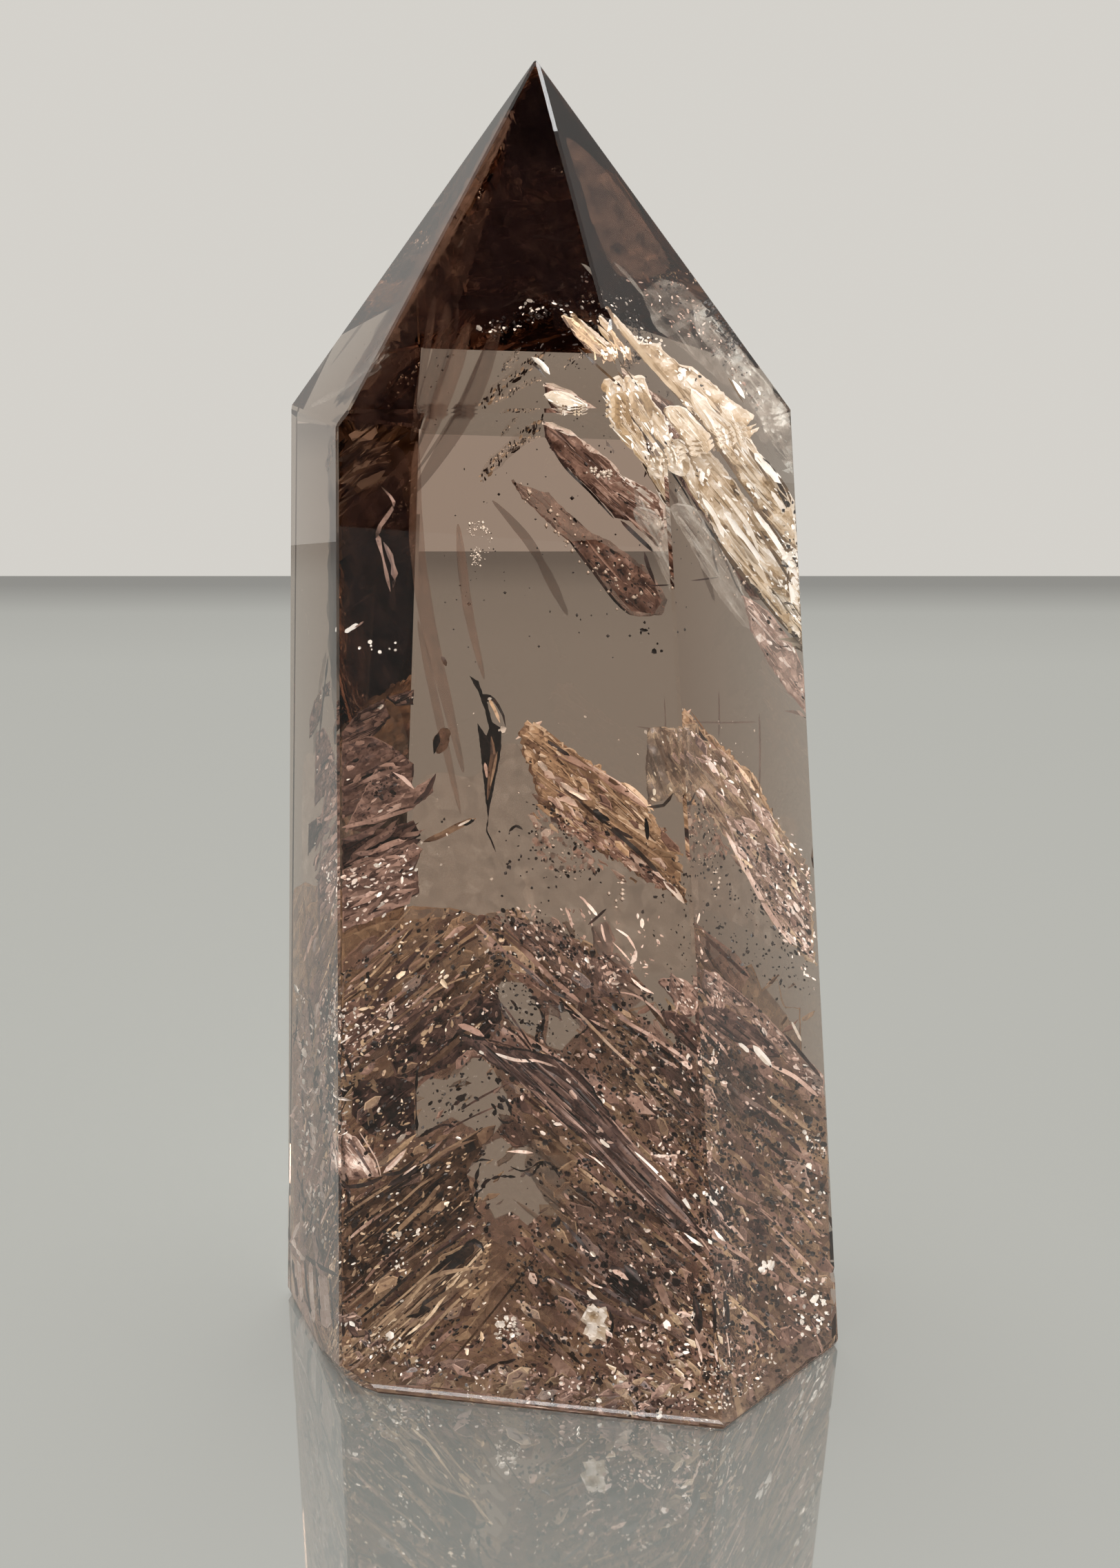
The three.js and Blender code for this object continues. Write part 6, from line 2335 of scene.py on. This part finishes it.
@dataclass
class Stage:
    """Pale floor, soft light and the cards that keep dark reflections dark.

    The floor darkens in a soft line between line_starts and far_edge, a painted shadow
    where the floor meets the backdrop. line_tones holds places in that strip, each with
    its share of the floor's tone.
    """

    floor_tone: Colour = (0.122, 0.126, 0.117)
    wall_tone: Colour = (0.66, 0.64, 0.60)
    polish: float = 0.34
    polish_roughness: float = 0.03
    line_starts: float = 0.200
    far_edge: float = 0.2653
    line_tones: tuple[Span, ...] = ((0.55, 0.85), (0.88, 0.25))
    edge_tone: float = 0.22
    reach: float = 1.6
    floor_level: float = -0.08 * MM
    card_level: float = 0.4 * MM
    looked_at: Place = (0.0, 0.0, 0.04)
    dim_tone: Colour = (0.012, 0.008, 0.008)

    def floor_finish(self) -> bpy.types.Material:
        """The pale polished floor with a soft painted shadow line at its far edge.

        Returns:
            The material.
        """
        dress = Dressing("pale_floor")
        dress.nodes.remove(dress.shader)
        paint = dress.add("BsdfDiffuse")
        gloss = {"Roughness": self.polish_roughness, "Color": (1.0, 1.0, 1.0, 1.0)}
        polish = dress.add("BsdfGlossy", gloss)
        both = dress.add("MixShader", {"Fac": self.polish})
        place = dress.add("NewGeometry")
        split = dress.add("SeparateXYZ")
        # The ramp paints a shadow line into the floor's colour towards its far edge.
        ramp = dress.add("MapRange", {"From Min": self.line_starts, "From Max": self.far_edge})
        stops = dress.add("ValToRGB")
        tones = stops.color_ramp.elements
        tones[0].position, tones[0].color = 0.0, (*self.floor_tone, 1.0)
        tones[1].position, tones[1].color = 1.0, (*(self.edge_tone * t for t in self.floor_tone), 1.0)
        for place_on_it, share in self.line_tones:
            tones.new(place_on_it).color = (*(share * t for t in self.floor_tone), 1.0)
        dress.link(place.outputs["Position"], split.inputs[0])
        dress.link(split.outputs["Y"], ramp.inputs["Value"])
        dress.link(ramp.outputs["Result"], stops.inputs["Fac"])
        dress.link(stops.outputs["Color"], paint.inputs["Color"])
        dress.link(paint.outputs[0], both.inputs[1])
        dress.link(polish.outputs[0], both.inputs[2])
        dress.link(both.outputs[0], dress.output.inputs["Surface"])
        return dress.material

    def board(self, name: str, corners: list[Place]) -> bpy.types.Object:
        """A flat four-cornered stage piece.

        Args:
            name: the object's name.
            corners: its corners in order.

        Returns:
            The object.
        """
        mesh = bpy.data.meshes.new(name)
        mesh.from_pydata(corners, [], [(0, 1, 2, 3)])
        piece = bpy.data.objects.new(name, mesh)
        bpy.context.scene.collection.objects.link(piece)
        return piece

    def dark_card(self, name: str, corners: list[Place], rays: str) -> bpy.types.Object:
        """A dark card that only some of the light meets. It glows faintly with dim_tone, though
        it is no lamp, and so paints darkness into reflections and into what is seen through
        the crystal.

        Args:
            name: the object's name.
            corners: its corners in order.
            rays: "transmission" for light that leaves the crystal, "glossy" for reflections.

        Returns:
            The object.
        """
        piece = self.board(name, corners)
        dress = Dressing(name)
        dress.nodes.remove(dress.shader)
        dim = dress.add("Emission", {"Color": (*self.dim_tone, 1.0)})
        dress.link(dim.outputs[0], dress.output.inputs["Surface"])
        piece.data.materials.append(dress.material)
        piece.visible_camera = False
        piece.visible_diffuse = False
        piece.visible_shadow = False
        piece.visible_glossy = rays == "glossy"
        piece.visible_transmission = rays == "transmission"
        return piece

    def build(self) -> None:
        """Makes the floor, the cards, the backdrop's light and the lamps."""
        reach, far, low, near = self.reach, self.far_edge, self.floor_level, self.card_level
        edges = [(-reach, -reach, low), (reach, -reach, low), (reach, far, low), (-reach, far, low)]
        floor = self.board("floor", edges)
        floor.data.materials.append(self.floor_finish())
        # Paints darkness into what is seen through the crystal towards the front right.
        self.dark_card(
            "dark_card_right",
            [(0.026, -0.035, near), (0.042, -0.019, near), (0.160, -0.140, near), (0.142, -0.160, near)],
            "transmission",
        )
        # Paints the shadow under the crystal, seen through its base.
        wide, long, under = 0.018, 0.014, low / 2
        below = [(-wide, -long, under), (wide, -long, under), (wide, long, under), (-wide, long, under)]
        self.dark_card("dark_card_below", below, "transmission")
        # Paints the dark reflection of the room in front of the crystal.
        self.dark_card(
            "dark_card_front",
            [(-0.9, -0.38, -0.2), (0.9, -0.38, -0.2), (0.9, -0.38, 1.3), (-0.9, -0.38, 1.3)],
            "glossy",
        )
        world = bpy.data.worlds.new("pale_room")
        bpy.context.scene.world = world
        world.use_nodes = True
        sky = world.node_tree.nodes["Background"]
        sky.inputs["Color"].default_value = (*self.wall_tone, 1.0)
        sky.inputs["Strength"].default_value = 1.0
        self.lamp("soft_above", (-0.05, 0.12, 0.85), 0.7, 15.0)
        front = self.lamp("soft_front", (0.35, -0.75, 0.75), 0.7, 19.0)
        front.use_shadow = False

    def lamp(self, name: str, place: Place, size: float, watts: float) -> bpy.types.Light:
        """A soft square lamp that looks at the crystal.

        Args:
            name: its name.
            place: where it hangs.
            size: the length of its sides.
            watts: its power.

        Returns:
            The light.
        """
        data = bpy.data.lights.new(name, "AREA")
        data.shape = "SQUARE"
        data.size = size
        data.energy = watts
        lamp = bpy.data.objects.new(name, data)
        lamp.location = place
        sight = Vector(self.looked_at) - lamp.location
        lamp.rotation_euler = sight.to_track_quat("-Z", "Y").to_euler()
        bpy.context.scene.collection.objects.link(lamp)
        return data


def main() -> None:
    """Builds everything in order."""
    logging.basicConfig(level=logging.INFO, format="%(message)s")
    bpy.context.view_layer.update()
    camera = PhotoCamera()
    camera.build()
    space = CrystalSpace(ClearPoint().build().data, camera)
    for part in (UpperSpray, SmokyRays, DarkVoids, GoldenBundle, StripFlakes, LowerCloud, LeftVeins):
        part().build(space)
    Stage().build()
    bpy.context.scene.view_settings.view_transform = "Standard"


if __name__ == "__main__":
    main()
